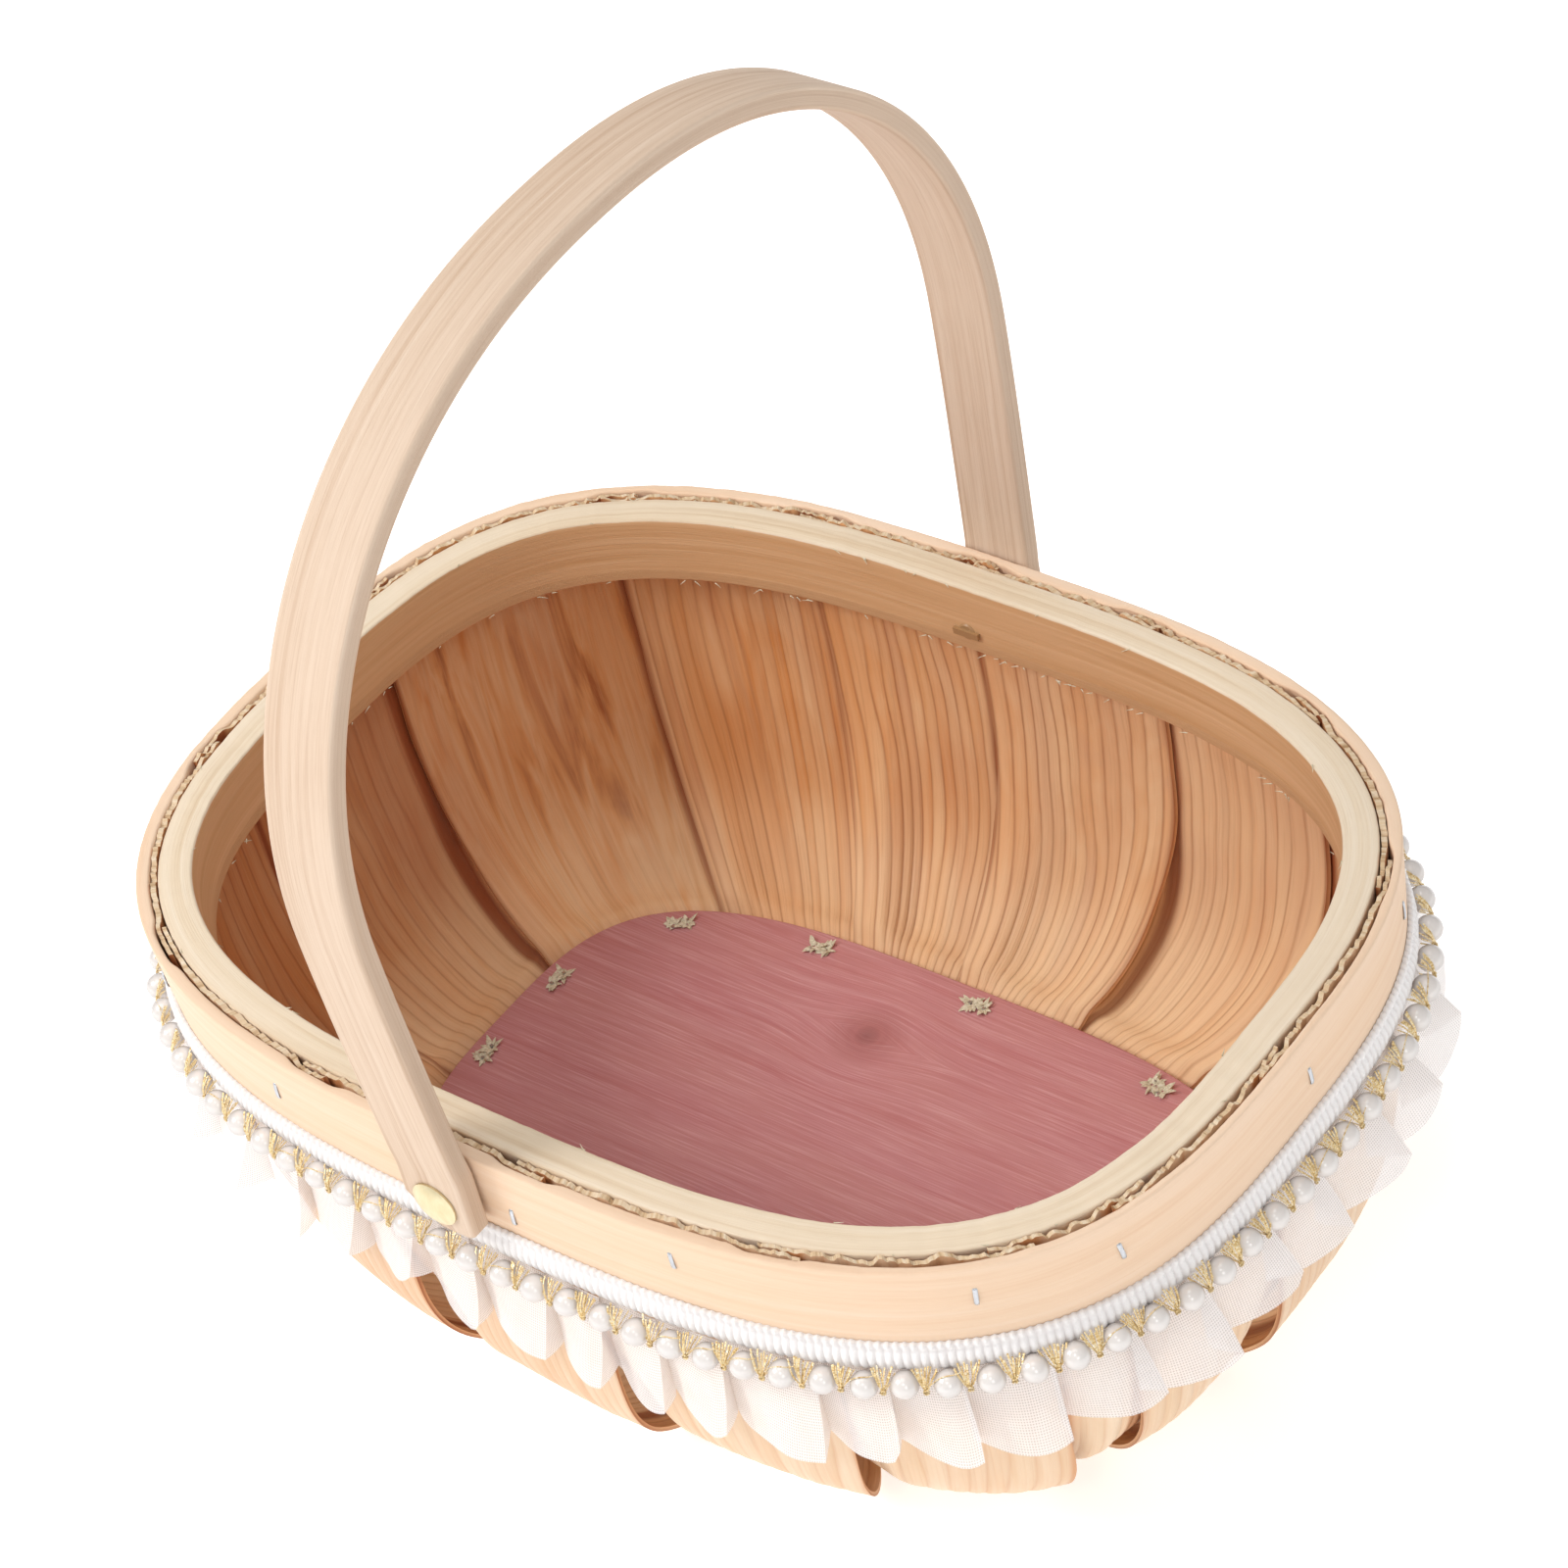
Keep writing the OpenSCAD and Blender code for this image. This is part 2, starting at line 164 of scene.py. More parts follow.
class Along:
    """Length along an outline at one offset, and the polar angle back from it."""

    def __init__(self, off, curve=rim):
        self.a = np.linspace(0, 2 * np.pi, 4321)
        p, _ = curve(self.a, np.full(self.a.shape, off))
        self.s = lengths(p)
        self.length = self.s[-1]

    def angle(self, s):
        turns = np.floor(np.asarray(s) / self.length)
        return np.interp(s - turns * self.length, self.s, self.a) + turns * 2 * np.pi

    def at(self, a):
        turns = np.floor(np.asarray(a) / (2 * np.pi))
        return np.interp(a - turns * 2 * np.pi, self.a, self.s) + turns * self.length


def loose_end(a):
    """1 round the right end of the rim, where the chips stand loosely between the hoops."""
    return smooth((np.cos(a + 0.21) - 0.78) / 0.14)


def alone(dist):
    """1 where a point at this distance from the nearest seam has only one chip."""
    return smooth((dist - OVERLAP - 0.5) / 5)


# ---- meshes

def quads(nu, nv, wrap_u=False, wrap_v=False):
    """Faces of a grid of points, nu along and nv across."""
    u = np.arange(nu if wrap_u else nu - 1)
    v = np.arange(nv if wrap_v else nv - 1)
    i, j = np.meshgrid(u, v, indexing="ij")
    i2, j2 = (i + 1) % nu, (j + 1) % nv
    return np.stack([i * nv + j, i * nv + j2, i2 * nv + j2, i2 * nv + j], -1).reshape(-1, 4)


def capped(n, m):
    """Faces of a closed tube of n rings of m points, with both its ends."""
    ends = [list(range(m))[::-1], [(n - 1) * m + k for k in range(m)]]
    return quads(n, m, wrap_v=True).tolist() + ends


def poled(n, m):
    """Faces of n rings of m points, with a fan to one more point at each end."""
    k, last = n * m, (n - 1) * m
    turns = [(j, (j + 1) % m) for j in range(m)]
    fans = [[k, j2, j] for j, j2 in turns] + [[last + j, last + j2, k + 1] for j, j2 in turns]
    return quads(n, m, wrap_v=True).tolist() + fans


def put_in_scene(name, data):
    ob = bpy.data.objects.new(name, data)
    bpy.context.scene.collection.objects.link(ob)
    return ob


def fibres(along, second, across, n, m):
    """The fibre coordinate of n by m points."""
    return np.stack([np.broadcast_to(x, (n, m)) for x in (along, second, across)], -1)


def mesh_piece(name, points, faces, material, body="basket", fibre=None, values=None, replaces=(), sharp=35,
               material_index=None, slot=None, closed=True):
    """A piece from points in millimetres. fibre is the wood's or cloth's own coordinate at each point."""
    me = bpy.data.meshes.new(name)
    me.from_pydata((np.asarray(points).reshape(-1, 3) * MM).tolist(), [], [list(map(int, f)) for f in faces])
    me.validate()
    for m in material if isinstance(material, (list, tuple)) else [material]:
        me.materials.append(m)
    if fibre is not None:
        at = me.attributes.new("fibre", "FLOAT_VECTOR", "POINT")
        at.data.foreach_set("vector", np.asarray(fibre, np.float32).reshape(-1))
    for key, value in (values or {}).items():
        at = me.attributes.new(key, "FLOAT", "POINT")
        at.data.foreach_set("value", np.asarray(value, np.float32).reshape(-1))
    if material_index is not None:
        me.polygons.foreach_set("material_index", np.asarray(material_index, np.int32))
    if closed:
        bm = bmesh.new()
        bm.from_mesh(me)
        bmesh.ops.recalc_face_normals(bm, faces=bm.faces)
        bm.to_mesh(me)
        bm.free()
    me.polygons.foreach_set("use_smooth", np.ones(len(me.polygons), bool))
    me.set_sharp_from_angle(angle=math.radians(sharp))
    me.update()
    ob = put_in_scene(name, me)
    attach(ob, body)
    if replaces:
        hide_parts(*replaces)
    return ob


def many(name, parts, material, along=None, **settings):
    """One piece of several closed meshes, as (points, faces); along lists their fibre coordinates."""
    faces, at = [], 0
    for p, f in parts:
        faces += [[i + at for i in face] for face in f]
        at += len(p)
    fibre = None if along is None else np.concatenate(along)
    return mesh_piece(name, np.concatenate([p for p, _ in parts]), faces, material, fibre=fibre, **settings)


def tube(path, radius, sides=6, flat=1.0, up=None):
    """Points and faces of a closed tube along a path; flat squeezes its section across the up direction."""
    path = np.asarray(path, float)
    d = directions(path)
    ref = np.array([0, 0, 1.0]) if up is None else np.asarray(up, float)
    x = np.cross(np.broadcast_to(ref, d.shape), d)
    x /= np.linalg.norm(x, axis=1, keepdims=True) + 1e-9
    y = np.cross(d, x)
    t = np.arange(sides) / sides * 2 * np.pi
    r = np.broadcast_to(np.asarray(radius, float), (len(path),))[:, None, None]
    ring = (np.cos(t)[None, :, None] * x[:, None] + np.sin(t)[None, :, None] * y[:, None] * flat) * r
    return (path[:, None] + ring).reshape(-1, 3), capped(len(path), sides)


# ---- materials

def rgb(text):
    """Linear colour of a #rrggbb text."""
    c = [int(text[i:i + 2], 16) / 255 for i in (1, 3, 5)]
    return tuple(x / 12.92 if x < 0.04045 else ((x + 0.055) / 1.055) ** 2.4 for x in c) + (1.0,)


class Paint:
    """A small writer of node materials."""

    def __init__(self, name):
        self.m = bpy.data.materials.new(name)
        self.m.use_nodes = True
        self.t = self.m.node_tree
        self.t.nodes.clear()
        self.out = self.t.nodes.new("ShaderNodeOutputMaterial")

    def put(self, socket, value):
        if isinstance(value, bpy.types.NodeSocket):
            self.t.links.new(value, socket)
        elif value is not None:
            socket.default_value = value

    def node(self, kind, **settings):
        n = self.t.nodes.new(kind)
        for k, v in settings.items():
            setattr(n, k, v)
        return n

    def attribute(self, name):
        return self.node("ShaderNodeAttribute", attribute_name=name).outputs["Fac"]

    def fibre(self):
        return self.node("ShaderNodeAttribute", attribute_name="fibre").outputs["Vector"]

    def place(self):
        return self.node("ShaderNodeTexCoord").outputs["Object"]

    def parts(self, vector):
        n = self.node("ShaderNodeSeparateXYZ")
        self.put(n.inputs[0], vector)
        return n.outputs

    def scaled(self, vector, scale):
        n = self.node("ShaderNodeMapping")
        self.put(n.inputs["Vector"], vector)
        n.inputs["Scale"].default_value = scale
        return n.outputs[0]

    def noise(self, vector, scale, detail=4.0, rough=0.55, distortion=0.0):
        """Noise over the vector, scaled by its own factor in each direction."""
        n = self.node("ShaderNodeTexNoise")
        self.put(n.inputs["Vector"], self.scaled(vector, scale))
        for k, v in (("Scale", 1.0), ("Detail", detail), ("Roughness", rough), ("Distortion", distortion)):
            n.inputs[k].default_value = v
        return n.outputs["Fac"]

    def threads(self, vector, scale, direction):
        """Fine parallel threads of cloth."""
        n = self.node("ShaderNodeTexWave", bands_direction=direction)
        self.put(n.inputs["Vector"], self.scaled(vector, scale))
        for k, v in (("Scale", 0.62), ("Distortion", 0.25), ("Detail", 2.0), ("Detail Scale", 2.0)):
            n.inputs[k].default_value = v
        return n.outputs["Fac"]

    def ramp(self, fac, stops):
        n = self.node("ShaderNodeValToRGB")
        self.put(n.inputs[0], fac)
        e = n.color_ramp.elements
        while len(e) < len(stops):
            e.new(0.5)
        for k, (pos, colour) in enumerate(stops):
            e[k].position = pos
            e[k].color = rgb(colour)
        return n.outputs[0]

    def mix(self, fac, a, b):
        n = self.node("ShaderNodeMix", data_type="RGBA")
        for k, v in ((0, fac), (6, a), (7, b)):
            self.put(n.inputs[k], rgb(v) if isinstance(v, str) else v)
        return n.outputs[2]

    def math(self, op, a, b=None, clamp=False):
        n = self.node("ShaderNodeMath", operation=op, use_clamp=clamp)
        self.put(n.inputs[0], a)
        self.put(n.inputs[1], b)
        return n.outputs[0]

    def times(self, a, b):
        return self.math("MULTIPLY", a, b)

    def spread(self, fac, low, high, to_low=0.0, to_high=1.0):
        n = self.node("ShaderNodeMapRange")
        for k, v in enumerate((fac, low, high, to_low, to_high)):
            self.put(n.inputs[k], v)
        return n.outputs[0]

    def bumps(self, height, strength, distance):
        n = self.node("ShaderNodeBump")
        n.inputs["Strength"].default_value = strength
        n.inputs["Distance"].default_value = distance
        self.put(n.inputs["Height"], height)
        return n.outputs[0]

    def shader(self, **inputs):
        n = self.node("ShaderNodeBsdfPrincipled")
        for k, v in inputs.items():
            self.put(n.inputs[k.replace("_", " ")], rgb(v) if isinstance(v, str) else v)
        self.t.links.new(n.outputs[0], self.out.inputs[0])
        return self.m


def bare_wood(name, light, mid, dark, along=0.012, line=0.6, fine=3.0, contrast=1.0, flecks=0.35, rough=0.62,
              relief=0.5, wall=None):
    """Bare wood, its grain along the fibre coordinate's first two directions; wall tones one side apart."""
    p = Paint(name)
    f = p.fibre()
    broad = p.noise(f, (along * 0.6, along * 0.6, 0.09), 3.0, 0.5)
    lines = p.noise(f, (along, along, line), 5.0, 0.6, 0.6)
    fibre = p.noise(f, (along * 5, along * 5, fine), 3.0, 0.7)
    colour = p.ramp(p.spread(lines, 0.5 - 0.22 / contrast, 0.5 + 0.22 / contrast),
                    [(0.0, dark), (0.45, mid), (1.0, light)])
    colour = p.mix(p.spread(broad, 0.35, 0.7, 0.0, 0.55), colour, light)
    if wall:
        side = p.ramp(p.spread(lines, 0.3, 0.7), [(0.0, wall[1]), (1.0, wall[0])])
        colour = p.mix(p.attribute("wall"), colour, side)
    colour = p.mix(p.times(p.spread(fibre, 0.52, 0.72), flecks), colour, dark)
    height = p.math("ADD", p.times(lines, 0.5), p.times(fibre, 0.6))
    return p.shader(Base_Color=colour, Roughness=p.spread(fibre, 0.3, 0.7, rough - 0.06, rough + 0.1),
                    Normal=p.bumps(height, relief, 0.0004), Specular_IOR_Level=0.3)


def chip_wood(name, tones, dark, late, pale_tone, relief=0.55, depth=0.62):
    """Peeled veneer: rounded ribs of their own tones, their crests lightened as painted highlight, between
    darker late-wood grooves that are deepened as painted shade.
    """
    p = Paint(name)
    f = p.fibre()
    phase, tone_and_shade, figure, pale = (p.attribute(k) for k in ("phase", "tone_and_shade", "figure", "pale"))
    crest = p.math("ABSOLUTE", p.math("SINE", p.times(phase, math.pi)))
    each = p.node("ShaderNodeTexWhiteNoise", noise_dimensions="1D")
    p.put(each.inputs["W"], p.math("FLOOR", phase))
    wander = p.noise(f, (0.016, 1.0, 0.17), 4.0, 0.55, 0.8)
    fine = p.noise(f, (0.03, 1.0, 2.0), 4.0, 0.65)
    patch = p.noise(f, (0.02, 1.0, 0.06), 3.0, 0.6, 1.0)
    pick = p.math("ADD", p.times(each.outputs["Value"], 0.75), p.spread(patch, 0.3, 0.7, -0.1, 0.35),
                  clamp=True)
    ribbed = p.ramp(pick, list(zip((0.0, 0.3, 0.6, 1.0), tones)))
    # Painted highlight: the ribs' crests are lightened towards the palest colour
    ribbed = p.mix(p.spread(crest, 0.6, 1.0, 0.0, 0.3), ribbed, tones[2])
    streaked = p.ramp(p.spread(wander, 0.3, 0.7), list(zip((0.0, 0.35, 0.6, 1.0), [dark] + tones[1:])))
    colour = p.mix(figure, ribbed, streaked)
    zone = p.noise(f, (0.009, 1.0, 0.055), 2.0, 0.5, 0.4)
    colour = p.mix(p.spread(zone, 0.5, 0.68, 0.0, 0.6), colour, tones[3])
    colour = p.mix(p.spread(zone, 0.5, 0.34, 0.0, 0.45), colour, tones[0])
    # Paler where the chip is pale, and as painted light near the plate
    colour = p.mix(p.times(pale, 0.6), colour, pale_tone)
    furrow = p.math("SUBTRACT", 1.0, p.times(figure, 0.9))
    # The dark furrows between the ribs: the late wood's own colour, deepened as painted shade
    groove_shade = p.times(p.spread(crest, 0.42, 0.05, 0.0, depth), furrow)
    groove_shade = p.times(groove_shade, p.spread(wander, 0.36, 0.6, 0.4, 1.0))
    colour = p.mix(groove_shade, colour, late)
    colour = p.mix(p.times(p.spread(fine, 0.52, 0.75), 0.22), colour, late)
    colour = p.mix(p.times(p.spread(fine, 0.48, 0.25), 0.25), colour, tones[2])
    # Painted shade with each chip's own darkness: darker under the hoops, beside the seams and on the chips
    # of the darker side, lighter near the plate
    colour = p.mix(tone_and_shade, colour, dark)
    height = p.math("ADD", p.times(fine, 0.5), p.times(p.times(crest, furrow), 1.1))
    return p.shader(Base_Color=colour, Roughness=p.spread(fine, 0.3, 0.7, 0.48, 0.66),
                    Normal=p.bumps(height, relief, 0.0007), Specular_IOR_Level=0.35)


RIM_WOOD = bare_wood("rim_wood", "#EADAC4", "#E1CCAF", "#CDB08C", along=0.010, line=0.55, contrast=0.9,
                     flecks=0.3, wall=("#DDB286", "#CA9A6A"))
RIM_OUTER = bare_wood("rim_wood_outer", "#EED4BC", "#E9C9AA", "#DEB48F", along=0.008, line=0.35, contrast=0.8,
                      flecks=0.18)
HANDLE_WOOD = bare_wood("handle_wood", "#DDC7B2", "#D2B8A0", "#B8967A", along=0.010, line=0.8, fine=4.0,
                        contrast=0.9, flecks=0.4)
CHIP_IN = chip_wood("chip_inside", ["#CE966E", "#E2A56A", "#EEC393", "#DE9450"],
                    "#96502A", "#A05C32", "#F0D0A8")
CHIP_OUT = chip_wood("chip_outside", ["#E2C09E", "#E6CAA7", "#EEDAC0", "#E3BC94"],
                     "#CB8E5E", "#C88C5C", "#EED4B8", relief=0.45, depth=0.42)


def torn_wood(name, scale, detail, noise_rough, stops, rough, strength, distance):
    p = Paint(name)
    n = p.noise(p.fibre(), scale, detail, noise_rough)
    return p.shader(Base_Color=p.ramp(n, stops), Roughness=rough, Normal=p.bumps(n, strength, distance),
                    Specular_IOR_Level=0.2)


CHIP_EDGE = torn_wood("chip_torn_edge", (1.2, 1.0, 0.9), 4.0, 0.7,
                      [(0.3, "#A88560"), (0.46, "#D8BC98"), (0.7, "#EADAC2")], 0.85, 0.8, 0.0008)
SPLINTER = torn_wood("splinters", (1.5, 1.0, 6.0), 3.0, 0.6,
                     [(0.3, "#B0A587"), (0.5, "#D4CBB0"), (0.72, "#EAE3CF")], 0.8, 0.6, 0.0003)


def dyed_board():
    p = Paint("dyed_board")
    f = p.place()
    knot = (-0.0123, 0.0296)
    # Grain lines run along X and swell round the knot
    away = p.node("ShaderNodeVectorMath", operation="DISTANCE")
    p.put(away.inputs[0], p.scaled(f, (1.0, 1.0, 0.0)))
    away.inputs[1].default_value = (knot[0], knot[1], 0)
    d = away.outputs["Value"]
    at = p.parts(f)
    near = p.math("POWER", p.spread(d, 0.0, 0.026, 1.0, 0.0), 2.0)
    dy = p.math("SUBTRACT", at["Y"], knot[1])
    pushed = p.times(p.times(p.math("SIGN", dy), near), 0.006)
    join = p.node("ShaderNodeCombineXYZ")
    p.put(join.inputs[0], at["X"])
    p.put(join.inputs[1], p.math("SUBTRACT", at["Y"], pushed))
    g = join.outputs[0]
    streak = p.noise(g, (9, 420, 1), 5.0, 0.65, 0.4)
    hair = p.noise(g, (45, 2300, 1), 3.0, 0.7)
    cloud = p.noise(f, (22, 60, 1), 4.0, 0.6)
    colour = p.ramp(streak, [(0.25, "#B97274"), (0.5, "#C28385"), (0.75, "#CA9192")])
    colour = p.mix(p.spread(cloud, 0.4, 0.7, 0.0, 0.45), colour, "#C3877F")
    colour = p.mix(p.times(p.spread(hair, 0.5, 0.75), 0.6), colour, "#E2B4B4")
    colour = p.mix(p.times(p.spread(hair, 0.48, 0.25), 0.3), colour, "#A0575B")
    ring = p.math("SINE", p.times(d, 2600.0))
    inside = p.spread(d, 0.0025, 0.0095, 1.0, 0.0)
    knotty = p.mix(p.spread(ring, -1.0, 1.0, 0.0, 0.5), "#9E5B58", "#AC6A67")
    knotty = p.mix(p.spread(d, 0.0, 0.003, 1.0, 0.0), knotty, "#75403D")
    colour = p.mix(p.times(inside, 0.6), colour, knotty)
    height = p.math("ADD", p.times(hair, 0.6), p.times(streak, 0.6))
    return p.shader(Base_Color=colour, Roughness=p.spread(hair, 0.3, 0.7, 0.5, 0.64),
                    Normal=p.bumps(height, 0.35, 0.0004), Specular_IOR_Level=0.35)


def metal(name, base, second, rough, scale, dull=0.0):
    """Metal whose parts nearer the XZ plane than dull, such as a rivet's tail, are stained by the wood."""
    p = Paint(name)
    n = p.noise(p.place(), (scale, scale, scale * 0.4), 4.0, 0.6)
    colour, clean = p.mix(n, base, second), 1.0
    if dull:
        clean = p.spread(p.math("ABSOLUTE", p.parts(p.place())["Y"]), dull - 0.0005, dull)
        colour = p.mix(clean, "#A98258", colour)
    return p.shader(Base_Color=colour, Metallic=clean,
                    Roughness=p.spread(n, 0.3, 0.7, rough - 0.06, rough + 0.08),
                    Normal=p.bumps(n, 0.15, 0.0001))


STEEL = metal("staple_wire", "#D5D8DC", "#A9ACB2", 0.3, 1400)
BRASS = metal("rivet_brass", "#E6DAB8", "#C9B88E", 0.36, 700, 0.0785)


def braid_cotton():
    p = Paint("braid_cotton")
    f = p.fibre()
    n = p.noise(f, (3.0, 3.0, 3.0), 3.0, 0.6)
    thread = p.noise(f, (6.0, 1.0, 0.8), 2.0, 0.6)
    # Painted shade: the braid is coloured darker in the hollows between its ribs
    colour = p.mix(p.attribute("groove_shade"), "#F8F5F4", "#E6E0DE")
    colour = p.mix(p.spread(n, 0.45, 0.7, 0.0, 0.35), colour, "#E9E4E3")
    return p.shader(Base_Color=colour, Roughness=0.8, Sheen_Weight=0.25, Sheen_Roughness=0.5,
                    Specular_IOR_Level=0.25, Normal=p.bumps(p.math("ADD", n, thread), 0.5, 0.0003))


def pearl_gloss():
    p = Paint("pearl")
    n = p.noise(p.place(), (160, 160, 160), 2.0, 0.5)
    # Painted shade: each pearl greys from its middle out to its rim, by how far the surface faces away from
    # the view
    rim_shade = p.node("ShaderNodeLayerWeight")
    rim_shade.inputs["Blend"].default_value = 0.45
    colour = p.ramp(rim_shade.outputs["Facing"],
                    [(0.0, "#E6E1DD"), (0.3, "#D8D2CE"), (0.65, "#B4ACA7"), (1.0, "#8A817C")])
    colour = p.mix(p.spread(n, 0.4, 0.7, 0.0, 0.2), colour, "#E3D5CB")
    return p.shader(Base_Color=colour, Roughness=0.35, Coat_Weight=1.0, Coat_Roughness=0.2, Coat_IOR=2.0)


def gold_thread():
    p = Paint("gold_thread")
    n = p.noise(p.fibre(), (4.0, 1.0, 1.0), 3.0, 0.7)
    # Along the strand the colour wanders from painted shade through gold to pale painted glints
    colour = p.ramp(n, [(0.3, "#A8803C"), (0.48, "#E6C88C"), (0.64, "#FFF5D6")])
    return p.shader(Base_Color=colour, Metallic=0.45, Roughness=p.spread(n, 0.3, 0.7, 0.42, 0.22),
                    Normal=p.bumps(n, 0.6, 0.0003))


def organza():
    p = Paint("organza")
    f = p.fibre()
    weave = p.math("MAXIMUM", p.threads(f, (1.0, 0.0, 0.0), "X"), p.threads(f, (0.0, 1.0, 0.0), "Y"))
    cloud = p.noise(f, (0.12, 0.12, 1), 3.0, 0.5)
    colour = p.mix(p.spread(weave, 0.3, 1.0), "#EAE3E0", "#F6F1EF")
    alpha = p.spread(weave, 0.2, 1.0, 0.54, 0.85)
    alpha = p.math("ADD", alpha, p.spread(cloud, 0.3, 0.7, -0.05, 0.05), clamp=True)
    return p.shader(Base_Color=colour, Alpha=alpha, Roughness=0.55, Sheen_Weight=0.35, Sheen_Roughness=0.35,
                    Specular_IOR_Level=0.35, Normal=p.bumps(weave, 0.25, 0.0001))


def dress(node, material):
    """Gives a CAD node that stays visible its material, and returns its mesh."""
    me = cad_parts[node].data
    me.materials.clear()
    me.materials.append(material)
    return me


BOARD, BRAID, PEARL, GOLD, ORGANZA = dyed_board(), braid_cotton(), pearl_gloss(), gold_thread(), organza()


# ---- rim bands

def band_section(low, high, top, bottom, r, steps=5, flat=2.0):
    """Rounded rectangle as (offset, z) points from the inner lower corner on, with their length round it."""
    corners = [(low, bottom, 180, 270), (high, bottom, 270, 360), (high, top, 0, 90), (low, top, 90, 180)]
    pts = []
    for x, z, a0, a1 in corners:
        cx = x + r if x == low else x - r
        cz = z + r if z == bottom else z - r
        for a in np.radians(np.linspace(a0, a1, steps)):
            pts.append((cx + r * math.cos(a), cz + r * math.sin(a)))
    pts = np.array(pts + pts[:1])
    out = [pts[0]]
    for a, b in zip(pts[:-1], pts[1:]):
        n = max(1, int(np.linalg.norm(b - a) / flat))
        out += [a + (b - a) * k / n for k in range(1, n + 1)]
    out = np.array(out[:-1])
    return out, lengths(out)


def band(name, off, t, h, material, seed, rough_top, node, hug=0.0):
    """Bent wood band that leans inwards, with eased edges and a hand-cut top."""
    line = Along(off)
    n = 600
    s = np.arange(n) / n * line.length
    a = line.angle(s)
    seams = line.at(np.radians([seam for seam, _ in SEAMS]))
    away = np.abs((s[:, None] - seams[None] + line.length / 2) % line.length - line.length / 2).min(1)
    close = hug * alone(away) * (1 - loose_end(a))
    sec, v = band_section(off, off + t, RIM_Z, RIM_Z - h, min(0.55, t * 0.3))
    m = len(sec)
    pts = np.zeros((n, m, 3))
    turn = s / line.length * 2 * np.pi
    wave = 0.16 * noise1(np.cos(turn) * 7 + 20, seed) + 0.12 * noise1(np.sin(turn) * 9 + 40, seed + 1)
    for j in range(m):
        depth = RIM_Z - sec[j, 1]
        top = smooth(1 - depth / 1.2)
        jag = rough_top * top * (noise1(s / 2.3, seed + 2) * 0.6 + noise1(s / 0.9, seed + 3) * 0.4)
        side = 0.06 * noise1(s / 14 + sec[j, 1] * 0.1, seed + 4)
        inward = close * smooth((12 - depth) / 8) if sec[j, 0] < off + t / 2 else 0
        xy, _ = rim(a, sec[j, 0] - LEAN * depth + side - inward)
        pts[:, j] = level(xy, sec[j, 1] + wave * top + jag * 0.5)
    big = line.length / (2 * np.pi)
    fibre = fibres((np.cos(turn) * big)[:, None], (np.sin(turn) * big)[:, None], v, n, m)
    inside = (np.abs(sec[:, 0] - off) < 0.3) & (sec[:, 1] < RIM_Z - 0.4)
    wall = np.broadcast_to(inside.astype(float), (n, m))
    return mesh_piece(name, pts, quads(n, m, True, True), material, fibre=fibre, replaces=[node], sharp=50,
                      slot="rim_wood", values={"wall": wall})


band("inner_hoop", 0.0, INNER_T, INNER_H, RIM_WOOD, 3, 0.25, "inner_rim_band")
band("outer_hoop", RIM_OUT - OUTER_T, OUTER_T, OUTER_H, RIM_OUTER, 11, 0.3, "outer_rim_band", HUG)


# ---- base plate

def base_board():
    n = 420
    line = Along(0.0, plate)
    edge, out = plate(line.angle(np.arange(n) / n * line.length))
    steps = ((0.0, PLATE_Z + 0.5), (0.0, PLATE_TOP - 0.5), (0.15, PLATE_TOP - 0.15), (0.5, PLATE_TOP))
    rings = [level(edge - out * inset, z) for inset, z in steps]
    top_edge = rings[-1][:, :2]
    for share in (0.94, 0.85, 0.7, 0.5, 0.3, 0.1):
        xy = top_edge * share
        z = PLATE_TOP + 0.05 * noise2(xy[:, 0] / 18, xy[:, 1] / 9, 3) * (1 - share)
        rings.append(level(xy, z))
    rows = [level(xy, PLATE_Z) for xy in (edge * 0.4, edge * 0.8, edge - out * 0.4)] + rings
    pts = np.concatenate(rows + [[[0, 0, PLATE_Z], [0, 0, PLATE_TOP]]])
    return mesh_piece("base_board", pts, poled(len(rows), n), BOARD, replaces=["base_plate"], sharp=60,
                      slot="dyed_board")


base_board()


# ---- chips

# For each chip: rib pitch, rib height, darkness (partly its own colour, partly painted shade, most on chips 8
# to 10), share of smooth figure, paleness, size of its bulge
CHIPS = [(3.2, 0.34, 0.15, 0.20, 0.30, 1.0), (3.0, 0.22, 0.25, 0.45, 0.30, 1.0),
         (3.9, 0.26, 0.00, 0.25, 0.75, 1.0), (3.1, 0.42, 0.00, 0.05, 0.55, 1.0),
         (3.0, 0.42, 0.00, 0.05, 0.15, 1.0), (3.3, 0.30, 0.10, 0.25, 0.05, 1.0),
         (4.5, 0.12, 0.15, 0.90, 0.00, 1.0), (3.4, 0.24, 0.38, 0.35, 0.00, 1.0),
         (3.1, 0.30, 0.36, 0.20, 0.00, 1.2), (3.4, 0.26, 0.35, 0.30, 0.10, 1.7),
         (3.0, 0.22, 0.25, 0.40, 0.10, 1.85), (3.6, 0.24, 0.15, 0.35, 0.10, 1.5),
         (4.3, 0.40, 0.15, 0.15, 0.10, 0.95), (3.8, 0.30, 0.10, 0.25, 0.10, 0.6),
         (4.0, 0.36, 0.12, 0.20, 0.10, 0.45)]
MEAN_SPAN = 31.0
TOP_OFF = INNER_T + 0.2


